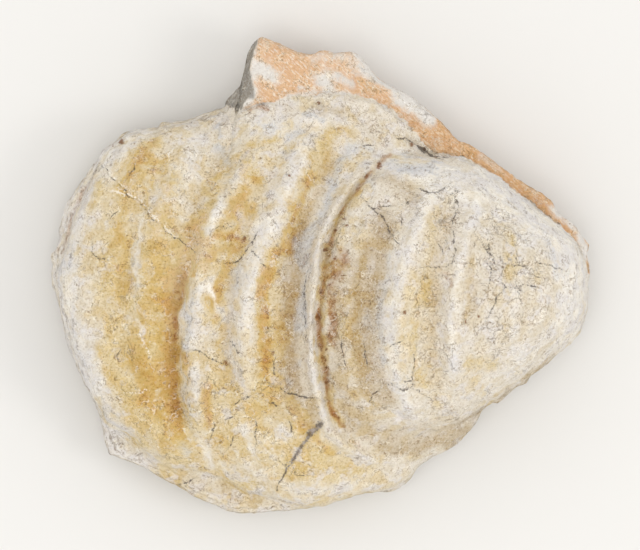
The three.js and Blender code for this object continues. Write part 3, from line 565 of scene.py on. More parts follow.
# White: chalk rubbed pale, and also painted light, which lightens the crests and the steep outer
# margin.
WHITE_WEAR_AND_LIGHT = [
    # on the beak
    (0.8, 2.4, 2.4, [(36, 12), (40, 10), (44, 7)]),
    (0.4, 1.6, 1.6, [(39.2, 9), (39, 6.4)]),
    (0.75, 2, 2, [(41.2, 8.6), (40.4, 4.6)]),
    (0.5, 1.6, 1.6, [(34, 8.6), (35.2, 2.6)]),
    (1, 3.4, 2.8, [(37, 16), (45, 10.6), (50.4, 4.6), (52, -3), (50.4, -11)]),
    (0.8, 2, 2, [(49.6, 4), (51, -2), (50, -9)]),
    (0.7, 1.8, 1.8, [(46.6, 5), (48, -5), (46.4, -11)]),
    (0.7, 1.6, 1.6, [(39.2, -3.4), (38.4, -9.4), (38.8, -15.4)]),
    (0.6, 1.8, 1.8, [(34, -7), (32.8, -13)]),
    (0.7, 1.6, 1.8, [(50.4, -11), (48, -14.6)]),
    (0.6, 2, 2, [(44, -14), (38, -19), (32, -23.4)]),
    # on the beak's two broad folds
    (0.8, 2.8, 2.8, [(12, 22), (20, 20.6), (30, 19.4), (37, 16)]),
    (1, 2.4, 2.4, [(20, 20), (24, 18.6), (28, 15)]),
    (0.8, 1.4, 1.4, [(26.4, 21.4), (24.4, 18), (22, 13.6)]),
    (0.6, 1.8, 1.8, [(34.6, 20.6), (32.6, 16), (31, 11)]),
    (0.75, 1.5, 1.5, [(34, 21.4), (32, 16), (29.6, 8.6), (27.2, 0.6), (25.8, -9), (26, -19)]),
    (0.75, 1.8, 1.7, [
        (26.4, 22), (23.2, 17.4), (19, 10), (15.7, 1), (14.3, -9), (14.6, -18), (17.2, -26.6),
    ]),
    # on the young shell's flank and in its groove
    (0.4, 1.6, 1.6, [(11, 14), (9.8, 9.6), (8.6, 6)]),
    (0.9, 0.6, 0.6, [(2.6, 10.4), (1.4, 6.4), (0.6, 3)]),
    (0.5, 1.4, 1.4, [(16, -38.4), (20, -37.2)]),
    # on the lip and the third fold
    (0.5, 1.8, 1.8, [(-15.6, 33.4), (-6, 34.6), (4, 34.2)]),
    (0.6, 1.6, 1.6, [(2, 31.6), (5, 30.6)]),
    (0.6, 3, 3, [(-15, 31), (-10, 31.4), (-6.6, 30)]),
    (0.7, 1.8, 1.4, [(-4, 30.6), (0.4, 31)]),
    (0.7, 1.8, 1.8, [(-12.4, 30.6), (-8, 29)]),
    (0.5, 1.6, 1.6, [(4.6, 30.4), (8, 28.8)]),
    (0.7, 1, 1, [(-6.8, 26.6), (-4.8, 27.8)]),
    (0.75, 2, 1.8, [(0.4, 30.6), (-4, 23), (-6.4, 17)]),
    (0.8, 2.4, 2, [(-3.8, 24.8), (-6.2, 20.6), (-9, 16.4)]),
    (0.45, 1.6, 1.4, [(-6.4, 17), (-8.6, 12), (-10.4, 9.4)]),
    (0.65, 1.6, 1.6, [(-8, 7.6), (-9.4, 9), (-12.6, 10.4)]),
    (0.75, 2, 2.6, [(-9.6, 10), (-12, 4), (-14.6, -3), (-15.2, -10)]),
    (0.55, 0.5, 1.1, [
        (16.4, 24.6), (10.4, 23.4), (5.2, 17), (1.2, 10), (-0.8, 3), (-1.8, -7), (-1.4, -15),
        (-0.8, -21), (1.2, -29), (5, -34.2), (11, -37.2),
    ]),
    (0.5, 1.6, 1.6, [(-17.8, -15.4), (-17.6, -17)]),
    (0.6, 1.6, 1.6, [(-17, -14), (-17, -19)]),
    (0.6, 1, 1, [(-8.4, -21), (-6.4, -22)]),
    (0.7, 0.9, 0.9, [(-7.8, -30), (-6.2, -32)]),
    (0.8, 1.2, 1.2, [(-14.4, -30), (-13.6, -35)]),
    (0.5, 2.4, 2.4, [(-13, -32), (-8, -35)]),
    (0.7, 2.8, 2.8, [(-14, -39), (-4, -43), (8, -42.2)]),
    # on the fourth fold and its step
    (0.7, 1.2, 1.2, [(-23, 32.6), (-19, 32.6)]),
    (0.45, 3, 3, [(-26, 27.6), (-22, 25.4)]),
    (0.55, 1.8, 1.6, [(-13.6, 25), (-17.4, 18.6)]),
    (0.85, 1.6, 1.5, [(-20, 14), (-22.2, 9.6)]),
    (0.6, 1.8, 1.2, [(-16, 12.6), (-15, 8.6)]),
    (0.6, 0.9, 0.9, [(-21, -3.4), (-20.4, -4)]),
    (0.8, 0.8, 0.8, [(-21.4, -0.2), (-20.4, -5), (-19.2, -8.6)]),
    (0.9, 1.5, 1, [(-23.2, -2), (-24.2, -5), (-25.2, -8.4), (-26, -14)]),
    (0.6, 0.9, 0.9, [(-24.6, -17), (-24.4, -23)]),
    (0.5, 1.2, 1.2, [(-23.4, -20), (-22.2, -22.6)]),
    (0.8, 1.4, 1, [(-25.4, -19), (-24.8, -25)]),
    (0.75, 1.4, 1, [(-24.8, -32.2), (-21.6, -36.6), (-18.4, -39.4)]),
    (0.2, 2.6, 2.6, [(-30, -41), (-24, -43), (-14, -44.4)]),
    # on the outer shell
    (0.45, 2, 2, [(-25.6, 21.4), (-27.2, 15.8)]),
    (0.5, 2.2, 1.6, [(-24, 27.4), (-27, 22), (-30.6, 14.6), (-33.4, 8)]),
    (0.7, 1.6, 1.6, [(-32, 17.8), (-33.2, 13.8)]),
    (0.9, 1, 0.7, [(-35.4, 10.6), (-36.2, 5), (-36.8, -2)]),
    (0.7, 0.4, 0.4, [(-36, -9), (-35.6, -12)]),
    (0.45, 0.6, 0.5, [(-37, -4.2), (-36, -11), (-34.4, -17.4)]),
    # along the old margin
    (1, 1.7, 2, [(-36, 29), (-38.4, 26.4), (-41, 23)]),
    (0.5, 1.4, 1.4, [(-39.6, 24), (-37.6, 21.6)]),
    (0.7, 1.6, 1.6, [(-43.4, 21.8), (-41.6, 18.6)]),
    (0.85, 2.6, 6, [
        (-42.4, 25.4), (-46.4, 17), (-49.6, 9), (-50.8, -2), (-48.4, -13), (-45.6, -22),
    ]),
    (0.7, 2, 2.4, [(-46.8, -18.2), (-44.8, -23.4)]),
    (0.6, 2.4, 2.4, [(-41.6, -33), (-40, -35)]),
    (0.7, 4.4, 3.2, [(-43.2, -31), (-39, -36.6), (-35, -39)]),
]
# Grey-lilac: painted shade on step faces and on slopes turned from the light, and a painted bluish
# sheen near the hinge.
SHADE_AND_SHEEN = [
    # on the beak
    (0.5, 1.6, 1.6, [(45, 7), (48, 0)]),
    # on the beak's two broad folds
    (0.6, 1.4, 1.2, [(16, 22), (19, 21), (23, 20.4)]),
    (0.6, 1.3, 1.3, [(14.6, 5), (13, -1), (12.2, -9), (12.6, -17)]),
    # on the young shell's flank and in its groove
    (0.7, 1.6, 1.6, [(5, 25.4), (9.6, 25.4)]),
    (0.5, 2.2, 2.2, [(13, 21.4), (20, 22)]),
    (0.5, 1.6, 1.6, [(9, 22), (10.4, 18)]),
    (0.6, 1.4, 1.4, [(8.8, -7), (10.4, -10)]),
    # on the lip and the third fold
    (0.4, 1.2, 1.2, [(0, 33.6), (4, 32.8)]),
    (0.8, 0.8, 0.8, [(-2.6, 31.8), (0.6, 31)]),
    (0.7, 1.2, 1.2, [(-12.4, 30.4), (-8.8, 29.8)]),
    (0.7, 0.9, 0.9, [(-6.4, 28.2), (-3.8, 27.8)]),
    (0.5, 2, 2, [(-4, 27.4), (-8, 23)]),
    (0.85, 1.4, 1.4, [(5, 23.8), (3, 20.6), (1.4, 15), (-1, 10), (-2.6, 6)]),
    (0.6, 1.2, 1.2, [(-4.6, 7), (-4, 2.6)]),
    (0.6, 1.8, 1.8, [(-16, 1.4), (-16.8, -3)]),
    (0.7, 1.4, 1.4, [(-2.4, 6), (-3, 1), (-4, -5), (-4.4, -11)]),
    (0.5, 1, 1, [(-4, -3.8), (-3.6, -11)]),
    (0.6, 1, 1, [(-8, -18.6), (-5.6, -20.6)]),
    # on the fourth fold and its step
    (0.8, 0.8, 0.6, [(-20.2, 30.2), (-20, 27.4)]),
    (0.85, 1.6, 1.6, [(-20.6, 25), (-18.6, 21.6)]),
    (0.6, 1, 0.7, [(-25, -3), (-26, -8), (-26.8, -14), (-27, -18), (-26.8, -25), (-25.6, -31)]),
    (0.7, 1.4, 1.4, [(-27.8, -34.2), (-26.6, -35.4)]),
    # on the outer shell
    (0.6, 0.6, 0.6, [(-36.6, 7), (-37, 2.6), (-37.6, -1)]),
    # along the old margin
    (0.5, 1.6, 1.6, [(-49, 5), (-51.6, 1)]),
    (0.5, 2, 1.6, [(-50, -13), (-47.2, -21)]),
]
# Tan: iron stain in the furrows, and painted shade on the steep flank along the lower edge and at
# the beak.
TAN_STAIN_AND_SHADE = [
    # on the beak
    (0.3, 2.2, 2, [(35, 9), (33.6, -3), (32.4, -13)]),
    (0.5, 1.6, 2.4, [(52, 9), (52.8, -5), (50, -12)]),
    (0.15, 5, 5, [(38, 4), (41, -6), (39, -15)]),
    (0.4, 2, 2, [(39, -4), (39, -8)]),
    # on the beak's two broad folds
    (0.5, 1.6, 1.4, [(30, 8), (29.4, -1), (29.4, -10)]),
    (0.5, 1.2, 1.2, [(31, -1), (30.8, -6)]),
    (0.3, 2.4, 2.8, [(25.6, 12), (22.4, -1), (22, -13), (23.2, -24)]),
    (0.9, 1, 2, [(46, -17.6), (39.6, -22.8), (34, -27), (31, -31), (26, -35)]),
    # on the young shell's flank and in its groove
    (0.7, 2.4, 2.4, [(12.6, 20), (15, 18.6), (18, 15)]),
    (0.6, 2, 2, [(12, 12), (11, 9)]),
    (0.9, 1.5, 1.5, [(9, 6), (7.6, 1), (7.4, -8), (7.8, -15), (9, -23)]),
    (0.85, 2.4, 2.8, [(13, 10), (11, -3), (10.4, -15), (13, -25)]),
    (0.4, 1.6, 1.6, [(7.6, -7), (7.6, -13)]),
    (0.65, 3, 2, [(4.4, 2), (3.4, -4), (3, -11), (3.6, -21), (5.6, -30)]),
    (0.6, 4, 2.4, [(8, -28), (10, -31.6), (20, -32.6), (27, -30.6)]),
    (0.8, 1.4, 1.4, [(12, -34.2), (16, -34.6), (22, -33.8), (28, -31.4)]),
    # on the lip and the third fold
    (0.7, 1.4, 1.4, [(0.6, 33), (4, 32.4)]),
    (0.4, 4, 4, [(-21, 31.4), (-12, 32.6), (2, 31.4), (12, 28)]),
    (0.3, 1.6, 1.6, [(1.6, 22), (-1, 17), (-3, 11)]),
    (0.6, 0.7, 1.4, [
        (10.4, 23.6), (4.6, 16.4), (0.4, 9), (-1.6, 2), (-2.2, -7), (-2.2, -15), (-1.4, -22),
    ]),
    (0.45, 2.8, 2.4, [(-14, 7), (-17.2, -3), (-18, -15), (-16.8, -23)]),
    (0.8, 2, 4, [(-3.4, 8), (-4.8, -3), (-5.4, -15), (-4, -25)]),
    (0.8, 1.6, 1.6, [(-1.4, -26), (-1.6, -30)]),
    # on the outer shell
    (0.3, 2.8, 3.6, [(-41.6, -34), (-34, -38.6), (-26, -41.4), (-19, -43.4)]),
    # along the old margin
    (0.9, 0.6, 0.6, [(-44.8, 20.4), (-47.8, 15), (-50, 9.6), (-51, 5)]),
]
OCHRE = [
    # on the beak's two broad folds
    (0.15, 2.4, 2, [(24.6, 12), (22.4, 4), (20.6, -4)]),
    (0.5, 2.4, 2, [(20.8, -2), (19.4, -8), (19, -14), (20.4, -22)]),
    (0.4, 2.4, 2.4, [(30, -17), (33.6, -19)]),
    (0.3, 1.6, 1.6, [(17, -36), (22, -35), (26, -33)]),
    # on the young shell's flank and in its groove
    (0.6, 1.5, 1, [(13, 23.4), (8.4, 18.4), (4.6, 13), (2, 7.4), (1.2, 2)]),
    (0.4, 2, 1, [(4.4, 8), (3, 1), (2, -7), (2.4, -14)]),
    (0.4, 1.2, 1.2, [(8.2, 4), (7.4, -8), (7.6, -15)]),
    (0.45, 1.6, 1.6, [(5.4, -9.6), (5.4, -13)]),
    (0.75, 1.2, 0.8, [
        (1.2, 2), (0.5, -4), (-0.2, -9), (0.2, -14), (1.2, -19), (1.8, -25), (4, -29),
    ]),
    (0.5, 1.6, 1.6, [(5.6, -20.6), (6.6, -24)]),
    # on the lip and the third fold
    (0.6, 1, 1, [(-10.8, 27), (-7, 29), (-4.4, 31.4)]),
    (0.55, 0.8, 0.8, [(-8.2, 27), (-6, 24.6), (-4, 26), (-2, 28.6)]),
    (0.45, 1.6, 1.4, [(2.4, 29.4), (1, 26.6), (1, 24), (-0.6, 19.6)]),
    (0.7, 1, 1.6, [(-13, 26), (-14.4, 23), (-16, 19.8)]),
    (0.85, 1.3, 1.5, [(-1.6, 19.6), (-4, 14.6), (-5.6, 10.4), (-5.6, 6)]),
    (0.6, 1.6, 1.6, [(-16, 14.8), (-13.4, 13), (-15.4, 9.6)]),
    (0.9, 1.4, 1.2, [(-5.6, 6.4), (-8.2, 4.2), (-9.6, 1)]),
    (0.5, 1, 1, [(-7.4, -4.2), (-4.4, -3.4)]),
    (0.9, 1.2, 1.2, [(-10.6, -1), (-10.6, -9)]),
    (1, 1.6, 1.8, [(-10.6, 0.6), (-11.2, -5), (-10.8, -11), (-10.6, -19.4)]),
    (0.65, 1.4, 1.4, [(-7, -7), (-7.4, -10), (-7, -13)]),
    (0.5, 1.6, 1.6, [(-7.4, -14), (-7, -21)]),
    (0.6, 2, 2.4, [(-8, -22.6), (-10, -26), (-13, -27)]),
    (0.4, 2.4, 2.4, [(-10, -23.4), (-13, -27.4), (-11.6, -31.4)]),
    (0.6, 1.6, 1.6, [(-6.4, -25), (-5, -30)]),
    (0.5, 1.4, 1.4, [(-5.6, -24.6), (-2.8, -29), (-0.4, -33)]),
    (0.8, 1.3, 1.3, [(-3.2, -27), (-3.2, -31)]),
    (0.7, 1.4, 1.4, [(-1.2, -31.4), (2, -35.4)]),
    (0.6, 1, 1, [(-9.6, -40.2), (-6, -40.6)]),
    # on the fourth fold and its step
    (0.6, 1.6, 2.4, [(-19.2, 21.4), (-21.6, 15.8), (-22.8, 10.6)]),
    (0.8, 1.6, 2.4, [(-13.2, 18.6), (-16, 15), (-18, 12)]),
    (0.5, 1.6, 1.6, [(-16, 12), (-15, 10)]),
    (0.9, 1.6, 1.6, [(-22.8, 7), (-18.8, 8.2), (-15.4, 6.6)]),
    (0.5, 2, 2, [(-23, 6), (-23.6, 3)]),
    (0.9, 1.4, 1.4, [(-22.8, 3.4), (-18.8, 4.6), (-15.6, 4.2)]),
    (0.9, 1, 5.2, [(-24.2, 7), (-26, 2.6), (-26.8, -1.8)]),
    (0.6, 1.4, 1.6, [(-23, 5), (-22.8, 0)]),
    (0.8, 1.6, 1.4, [(-18.2, 2.2), (-19.6, -1), (-19.6, -4.6)]),
    (0.6, 1.2, 1.2, [(-21.6, -6.2), (-21.2, -8.6)]),
    (0.5, 1.4, 1.4, [(-20.4, -5), (-20, -10)]),
    (0.5, 1, 1, [(-20, -13), (-20.6, -17)]),
    (0.75, 0.8, 0.8, [(-27.2, -16.2), (-24.4, -16)]),
    (0.7, 1.2, 1.2, [(-26.6, -16), (-25, -16.6)]),
    (0.7, 0.8, 0.8, [(-26, -17.4), (-26, -21.4)]),
    (1, 1.5, 1.6, [(-22, -22.6), (-22.4, -26), (-22.2, -29.4)]),
    (0.6, 2, 2, [(-19.6, -32.2), (-19.6, -39)]),
    # on the outer shell
    (0.9, 1.8, 1.3, [(-33.2, 27), (-36, 22.4), (-39.2, 17.4)]),
    (0.3, 3, 3, [(-28, 20), (-25, 17)]),
    (0.6, 2.4, 2.4, [(-32, 23.4), (-30.8, 17), (-30.4, 12)]),
    (0.5, 2.6, 2.6, [(-35, 20), (-33, 15), (-33, 12)]),
    (0.5, 1.6, 2.2, [(-38.8, 15.8), (-39.6, 10.6), (-40, 7.4)]),
    (0.4, 3, 2.4, [(-32.6, 9), (-33.6, 3), (-34, -4)]),
    (0.55, 0.8, 4, [(-37.4, 6), (-38.2, 2), (-38.2, -3)]),
    (0.85, 1.3, 6, [(-26.2, -3), (-28, -8), (-28.8, -13), (-28.6, -17)]),
    (0.55, 1.2, 4.4, [(-35.4, -13), (-36, -16.6)]),
    (0.8, 1.6, 4.4, [(-34.4, -20.2), (-33.4, -23)]),
    (0.95, 0.6, 5.4, [(-28.4, -19.8), (-28, -25), (-27.2, -29)]),
    (0.25, 2.8, 2.8, [(-33.6, -30), (-31.6, -34)]),
    # along the old margin
    (0.5, 2, 2, [(-44, -15), (-42, -21)]),
]
BROWN = [
    # on the beak's two broad folds
    (0.4, 1, 1, [(24, 1.4), (25.6, -2.2)]),
    # on the young shell's flank and in its groove
    (0.2, 0.8, 1, [(14, 24.6), (12, 22.2)]),
    (0.7, 0.7, 0.5, [(14, 24.2), (11.4, 21.6), (7.6, 17.4), (3.9, 12)]),
    (0.7, 1.4, 1.2, [(4.4, 5), (4.4, 3), (3.6, 0.6)]),
    (0.5, 0.8, 0.5, [(4.1, 12), (2.2, 7), (1.2, 2), (0.3, -4), (-0.3, -9), (0, -14), (1, -19)]),
    (0.7, 1.8, 0.8, [(2.8, 3), (2, -7), (2, -13)]),
    (0.6, 0.9, 0.5, [(-0.3, -7), (-0.5, -11), (-0.1, -14)]),
    (0.8, 0.8, 0.5, [(1, -19), (1.6, -25), (4.2, -29.8)]),
    # on the lip and the third fold
    (0.6, 0.6, 0.6, [(-13.6, 33), (-11.6, 33.8), (-10.4, 33)]),
    (0.35, 0.7, 0.7, [(0.8, 27), (1.4, 24)]),
    (0.35, 1, 1, [(-5.2, 12), (-5.8, 9.4)]),
    (0.2, 1.2, 0.8, [(-0.4, 12.2), (-2.4, 7.8), (-3.2, 2.6)]),
    (0.5, 0.8, 0.8, [(-5.6, -8.2), (-4.8, -9.4)]),
    (0.2, 0.8, 0.8, [(-10.4, -2.6), (-10.4, -13), (-10.4, -19)]),
    (0.25, 2, 1.2, [(0.4, -29), (4, -32.6), (9, -34.6)]),
    # on the fourth fold and its step
    (0.6, 0.6, 1, [(-17.4, 7.8), (-15.4, 7.4)]),
    # on the outer shell
    (0.5, 0.8, 0.8, [(-28.8, 8.6), (-26, 5.8), (-23.2, 3.8)]),
    (0.45, 0.6, 0.8, [(-37.6, 1.4), (-37.8, -3.4)]),
    (0.5, 0.6, 1, [(-26.4, -2.6), (-28, -7.4), (-28.9, -13), (-28.8, -17.4)]),
    (0.35, 0.6, 1, [(-28.6, -20.2), (-28.2, -26)]),
    # along the old margin
    (0.45, 0.5, 1.4, [(-44.8, 20.4), (-47.8, 15), (-50, 9.6), (-51, 5)]),
]
# Rusty spots, from the outer end to the beak: X, Y and radius.
SPOTS = [
    (-41.2, 25.6, 0.4), (-39.6, 26.6, 0.55), (-18.6, -17.8, 0.5), (-14.8, 7.4, 0.6),
    (-9.2, -15.6, 0.4), (-6, 19.6, 0.3), (-3.6, 18.8, 0.4), (-0.4, 34.2, 0.5), (0, -8.4, 0.5),
    (0.2, -3.4, 0.45), (1, -18.2, 0.4), (1, -16.4, 0.45), (1.2, -21.4, 0.5), (1.2, -14.6, 0.4),
    (1.2, 5, 0.4), (2, -2, 0.45), (2.8, 9, 0.45), (3, 3.4, 0.45), (3.4, -28.4, 0.5),
    (5, 11.2, 0.35), (5.4, 9.8, 0.4), (9.2, 19.4, 0.5), (11.6, 21.8, 0.6), (17, -7.4, 0.5),
    (18.2, 26, 0.6), (21, 24.8, 0.5), (23, 23.8, 0.5), (28.8, -9, 0.4), (31.2, -8.2, 0.4),
]
# Dark cracks: half their width, and the path.
CRACKS = [
    # on the beak
    (0.07, [(31.6, 7), (34.4, 2.6)]),
    (0.08, [(38.6, 5), (38.8, 3.6)]),
    (0.05, [(35.6, 2.6), (38, 1.8), (41, 2)]),
    (0.05, [(42, 2.1), (45, 2), (48.6, 1)]),
    (0.08, [(33, 2.4), (33.8, 1), (34, -0.2), (33.2, -2)]),
    (0.1, [(42.6, 0), (43.4, -0.4)]),
    (0.08, [(36.4, -1.8), (36.8, -2.8)]),
    (0.08, [(38.6, -1.8), (39.2, -2.8)]),
    (0.06, [(38, -3), (41, -2), (44, -2.6)]),
    (0.08, [(36, -3), (34, -6.4), (32.6, -10)]),
    # on the beak's two broad folds
    (0.42, [(19.2, 25.8), (21.4, 24.4), (24, 23.5)]),
    (0.1, [(23.6, 23.6), (26, 23.4)]),
    (0.06, [(20, 17), (23, 16.4), (26, 18)]),
    (0.1, [(25.6, 15), (26.4, 16.4), (27.6, 17)]),
    (0.09, [(26.8, 16), (27.2, 13.6)]),
    (0.22, [(16.4, 14), (17.8, 14.4)]),
    (0.12, [(27, 12.6), (26.4, 10.4)]),
    (0.08, [(16.4, 12), (16.2, 9.4)]),
    (0.08, [(22.8, 7.4), (24.4, 4.6)]),
    (0.08, [(26.2, 8.6), (26.8, 3)]),
    (0.07, [(32.8, 7.4), (33.6, 5.2), (34, 3.6)]),
    (0.08, [(27, 3), (24.4, 1.8), (21, 1.6)]),
    (0.07, [(26, 2.4), (22.6, 1.4)]),
    (0.07, [(14, -14.2), (16, -13.2)]),
    (0.07, [(18.8, -13), (18.2, -21.8)]),
    (0.07, [(15, -21), (18.2, -21.2)]),
    (0.07, [(12, -21.2), (16, -22.4), (18.4, -22.6), (22, -24.6)]),
    # on the young shell's flank and in its groove
    (0.12, [(15.4, 27.2), (18, 26.6), (19.4, 25.6)]),
    (0.1, [(8, 25.4), (10, 26)]),
    (0.07, [(10.4, 13), (15, 14)]),
    (0.2, [(12, 11.6), (13, 10.6)]),
    (0.11, [(8.8, 15), (10, 13.2), (12.2, 11.2), (13.6, 9), (15.2, 6.6)]),
    (0.09, [(7.6, -1.2), (6.6, -3)]),
    (0.08, [(4.4, -13), (5, -17.8)]),
    (0.13, [(8.6, -13.2), (9.6, -18)]),
    (0.13, [(11.4, -22.8), (9.6, -25.2)]),
    # on the lip and the third fold
    (0.09, [(-15, 4), (-11.6, 9)]),
    (0.1, [(-19, 2.6), (-17, 2.4), (-15, 3.8)]),
    (0.07, [(-13.4, 4.4), (-11.6, 2.6), (-10, 1)]),
    (0.09, [(-2.6, 1), (-3, -5), (-3, -11), (-3.4, -14)]),
    (0.13, [(-17.6, -13.2), (-16.8, -14.6), (-15.8, -15.2)]),
    (0.13, [(-9, -17.2), (-9, -19.8)]),
    (0.13, [(-8.4, -22.4), (-4.6, -23.8), (-0.8, -24.4)]),
    (0.12, [(-17, -25.6), (-13.4, -23.8)]),
    (0.13, [(-10, -25.6), (-8, -25.8)]),
    (0.08, [(-6.2, -28.6), (-5.6, -31)]),
    (0.07, [(-12.6, -29.2), (-12.8, -33.6)]),
    (0.1, [(-8, -37), (-6.4, -38.2)]),
    (0.14, [(-5.4, -38.6), (-4.6, -39.8), (-2.6, -39.8)]),
    (0.16, [(-5.8, -37.4), (-6.8, -39), (-8, -41.2), (-9, -42.8)]),
    # on the fourth fold and its step
    (0.07, [(-21.4, 8.8), (-19.8, 9.4), (-18, 9.6)]),
    (0.1, [(-25.4, -14.8), (-22, -16.2), (-18.8, -18.2)]),
    (0.12, [(-18.8, -28.8), (-17, -27.6)]),
    (0.08, [(-20.8, -29.2), (-22, -33.2)]),
    (0.07, [(-16.8, -32), (-19, -35.4)]),
    (0.1, [(-28.4, -41.8), (-25.6, -41)]),
    # on the outer shell
    (0.07, [(-36.6, 22), (-38.4, 19)]),
    (0.1, [(-32.8, 10.8), (-28, 6.8), (-25, 4.6)]),
    (0.07, [(-39.8, -14.8), (-40, -16.6)]),
    (0.07, [(-37.8, -14.2), (-37.4, -17.8)]),
    # along the old margin
    (0.07, [(-43.6, 21.8), (-40, 17.8), (-36, 14.4), (-32.4, 10.4)]),
    (0.09, [(-40.4, 12.6), (-41.4, 11.4)]),
    (0.06, [(-45.4, 6.6), (-45.2, 4), (-42.8, 3.2)]),
]
# Pale scratches and chipped edges, in the same way.
SCRATCHES = [
    (0.12, [(-28.4, 26.4), (-29.8, 24), (-30, 22.6)]),
    (0.12, [(-35.8, -11), (-34.8, -14), (-34, -16.4)]),
    (0.1, [(-38.4, -23.4), (-34.4, -23)]),
    (0.22, [(-22.4, -1), (-20.8, -5)]),
    (0.35, [(-41, 16.4), (-39, 16)]),
    (0.11, [(-43.2, 22.1), (-39.7, 18.1), (-35.7, 14.7), (-32.1, 10.7), (-27.8, 7.1)]),
]


def stain(xy, strokes):
    """Strokes laid over each other as glazes: 1 - the product of (1 - amount)."""
    left = np.ones(len(xy))
    for amount, beak, outer, path in strokes:
        left *= 1 - amount * stroke(xy, beak, outer, path)
    return 1 - left


def signed_line(xy, lines):
    """Signed distance to the nearest of many lines, counted from its edge, and the half width
    there, which tapers to nothing at the line's ends. The sign is the side, so that the value
    passes straight through 0 between mesh points and the line stays sharp."""
    signed, half, edge = np.full(len(xy), 9.0), np.zeros(len(xy)), np.full(len(xy), 9.0)
    for width, path in lines:
        line = smooth_path(path, 16)
        near = ((xy > line.min(0) - 3) & (xy < line.max(0) + 3)).all(axis=1)
        distance, share, side = nearest(line, xy[near])
        chosen = distance - width < edge[near]
        closer = np.flatnonzero(near)[chosen]
        edge[closer] = (distance - width)[chosen]
        signed[closer] = (distance * side)[chosen]
        half[closer] = (width * np.sqrt(np.sin(np.pi * np.clip(share, 0, 1))))[chosen]
    return signed, half


# The wing is rubbed white in patches, has warmer ochre bands, and is grey on its left wall, where
# the grey holds painted shade, as does a strip of the top beside it.
WING_PATCHES = [
    (1, 1.2, 1.2, [(-16, 34), (-13.2, 36)]),
    (0.7, 1.0, 1.0, [(-13.6, 45), (-12.8, 39)]),
    (0.85, 1.5, 1.5, [(-11.8, 41.8), (-9.6, 39.4)]),
    (0.7, 0.8, 0.8, [(-6, 35.6), (-1, 36)]),
    (0.6, 0.6, 0.6, [(-4, 37.8), (-2.6, 37.6)]),
    (0.9, 1.7, 1.7, [(1, 39.4), (1.8, 36.6)]),
    (0.4, 1.2, 1.2, [(-1, 43.6), (4, 43.4)]),
    (0.5, 1.2, 1.2, [(3.4, 39.4), (6, 38)]),
    (0.8, 0.8, 0.8, [(3.4, 35.8), (8, 35.2)]),
    (0.5, 1.4, 1.4, [(4.6, 43), (10, 40.4)]),
    (1, 0.9, 1.4, [(7, 45), (10.4, 41.6), (15, 37)]),
    (1, 1.2, 1.2, [(16.6, 35), (19.4, 32.6)]),
    (1, 1.8, 2.0, [(16.6, 36.6), (21.6, 31.6)]),
    (0.4, 1, 1, [(32, 23.6), (36, 20.6)]),
    (0.8, 1.2, 1.2, [(47, 13), (51, 10)]),
    (0.8, 1.2, 1.2, [(52.4, 8.4), (53.6, 4)]),
]
WING_OCHRE = [
    (0.5, 1.2, 1.4, [(6, 42), (7.6, 40), (10.6, 37)]),
    (0.6, 0.9, 1, [(29.2, 24.2), (32.8, 22.6)]),
    (0.3, 1.6, 1.2, [(14, 35), (18, 31.4), (24, 27.4)]),
    (0.5, 1, 1, [(35, 20.6), (41, 16.4), (46, 12.6)]),
]
WING_GREY = [(-14, 37.6), (-13.8, 35.8)]
# Where frost has crazed the skin most: beside the groove, on the beak and along the hinge.
CRAZED = [
    (0.8, 3, 3, [(3.4, 11), (2.4, 2), (2.2, -8), (3, -18)]),
    (0.9, 3, 3, [(25, 15), (22.6, 4), (22.4, -8), (23.6, -20)]),
    (0.9, 5, 5, [(35, 9), (35, -2), (34, -13)]),
    (0.8, 5, 5, [(42, 3), (42, -8)]),
    (0.7, 3, 2, [(-14, 30), (-4, 33), (6, 32), (14, 27)]),
    (0.6, 4, 4, [(-9, -17), (-7, -26)]),
    (0.5, 4, 4, [(-24, -14), (-20, -28)]),
]
# The one deep crack, as a stain: its edges are crumbled and grey.
GASH = [
    (1, 0.65, 0.65, [(0.2, -29.4), (-0.8, -30.4), (-2.2, -31.6)]),
    (1, 0.5, 0.5, [(-2, -31.6), (-3.4, -33.6), (-4.6, -35.6), (-5.6, -37)]),
    (0.7, 0.35, 0.35, [(-5.6, -37), (-6.8, -39)]),
]
seen = smoothstep((points[:, 2] - 6) / 3)  # 0 low on the back, 1 on the wall and the top
# Liquid creeps along the grain of the rock: a stain's edge wanders by about a millimetre, and by
# up to three where the stone is steep, so that no stain runs straight down a flank.
fine_creep = np.column_stack([rough(points, 2.2, seed=71), rough(points, 2.2, seed=81)])
creep = np.column_stack([rough(points, 7, seed=51), rough(points, 7, seed=61)]) + 0.5 * fine_creep
flank = smoothstep((0.6 - normals[:, 2]) / 0.4)[:, None]
on_side = (np.arange(len(points)) >= plan_x.size)[:, None]
crept = xy + (0.9 + 2 * flank) * creep
crept_wing = xy + (0.7 + 1.8 * on_side) * creep
snapped = smoothstep((wing_face - shell_face) / 0.5) * smoothstep((wing_face - 9) / 2)
left_wall = snapped * smoothstep((through(WING_LEFT_EDGE, y)[:, 0] - x + 0.3) / 0.6)
on_wing = snapped - left_wall
# The wall's grey, with its painted shade, also covers a short strip of the wing's top beside the
# wall.
wall = np.maximum(left_wall, snapped * stroke(xy, 0.9, 0.9, WING_GREY))
crack_distance, crack_half = signed_line(xy + 0.4 * fine_creep, CRACKS)
scratch_distance, scratch_half = signed_line(xy + 0.4 * fine_creep, SCRATCHES)
spots = np.zeros(len(xy))
for spot_x, spot_y, radius in SPOTS:
    gap = xy + 0.5 * fine_creep - (spot_x, spot_y)
    spots = np.maximum(spots, np.exp(-(gap**2).sum(axis=1) / radius**2))
inside_edge = np.zeros(len(xy))
inside_edge[: plan_x.size] = top_in
leaves = np.clip(1 - inside_edge / 5, 0, 1) * smoothstep((4 - x) / 20)
fold = np.zeros(len(xy))
for height, beak, outer, path in FOLDS:
    fold += height * stroke(xy, beak, outer, path, FOLD_FADE)
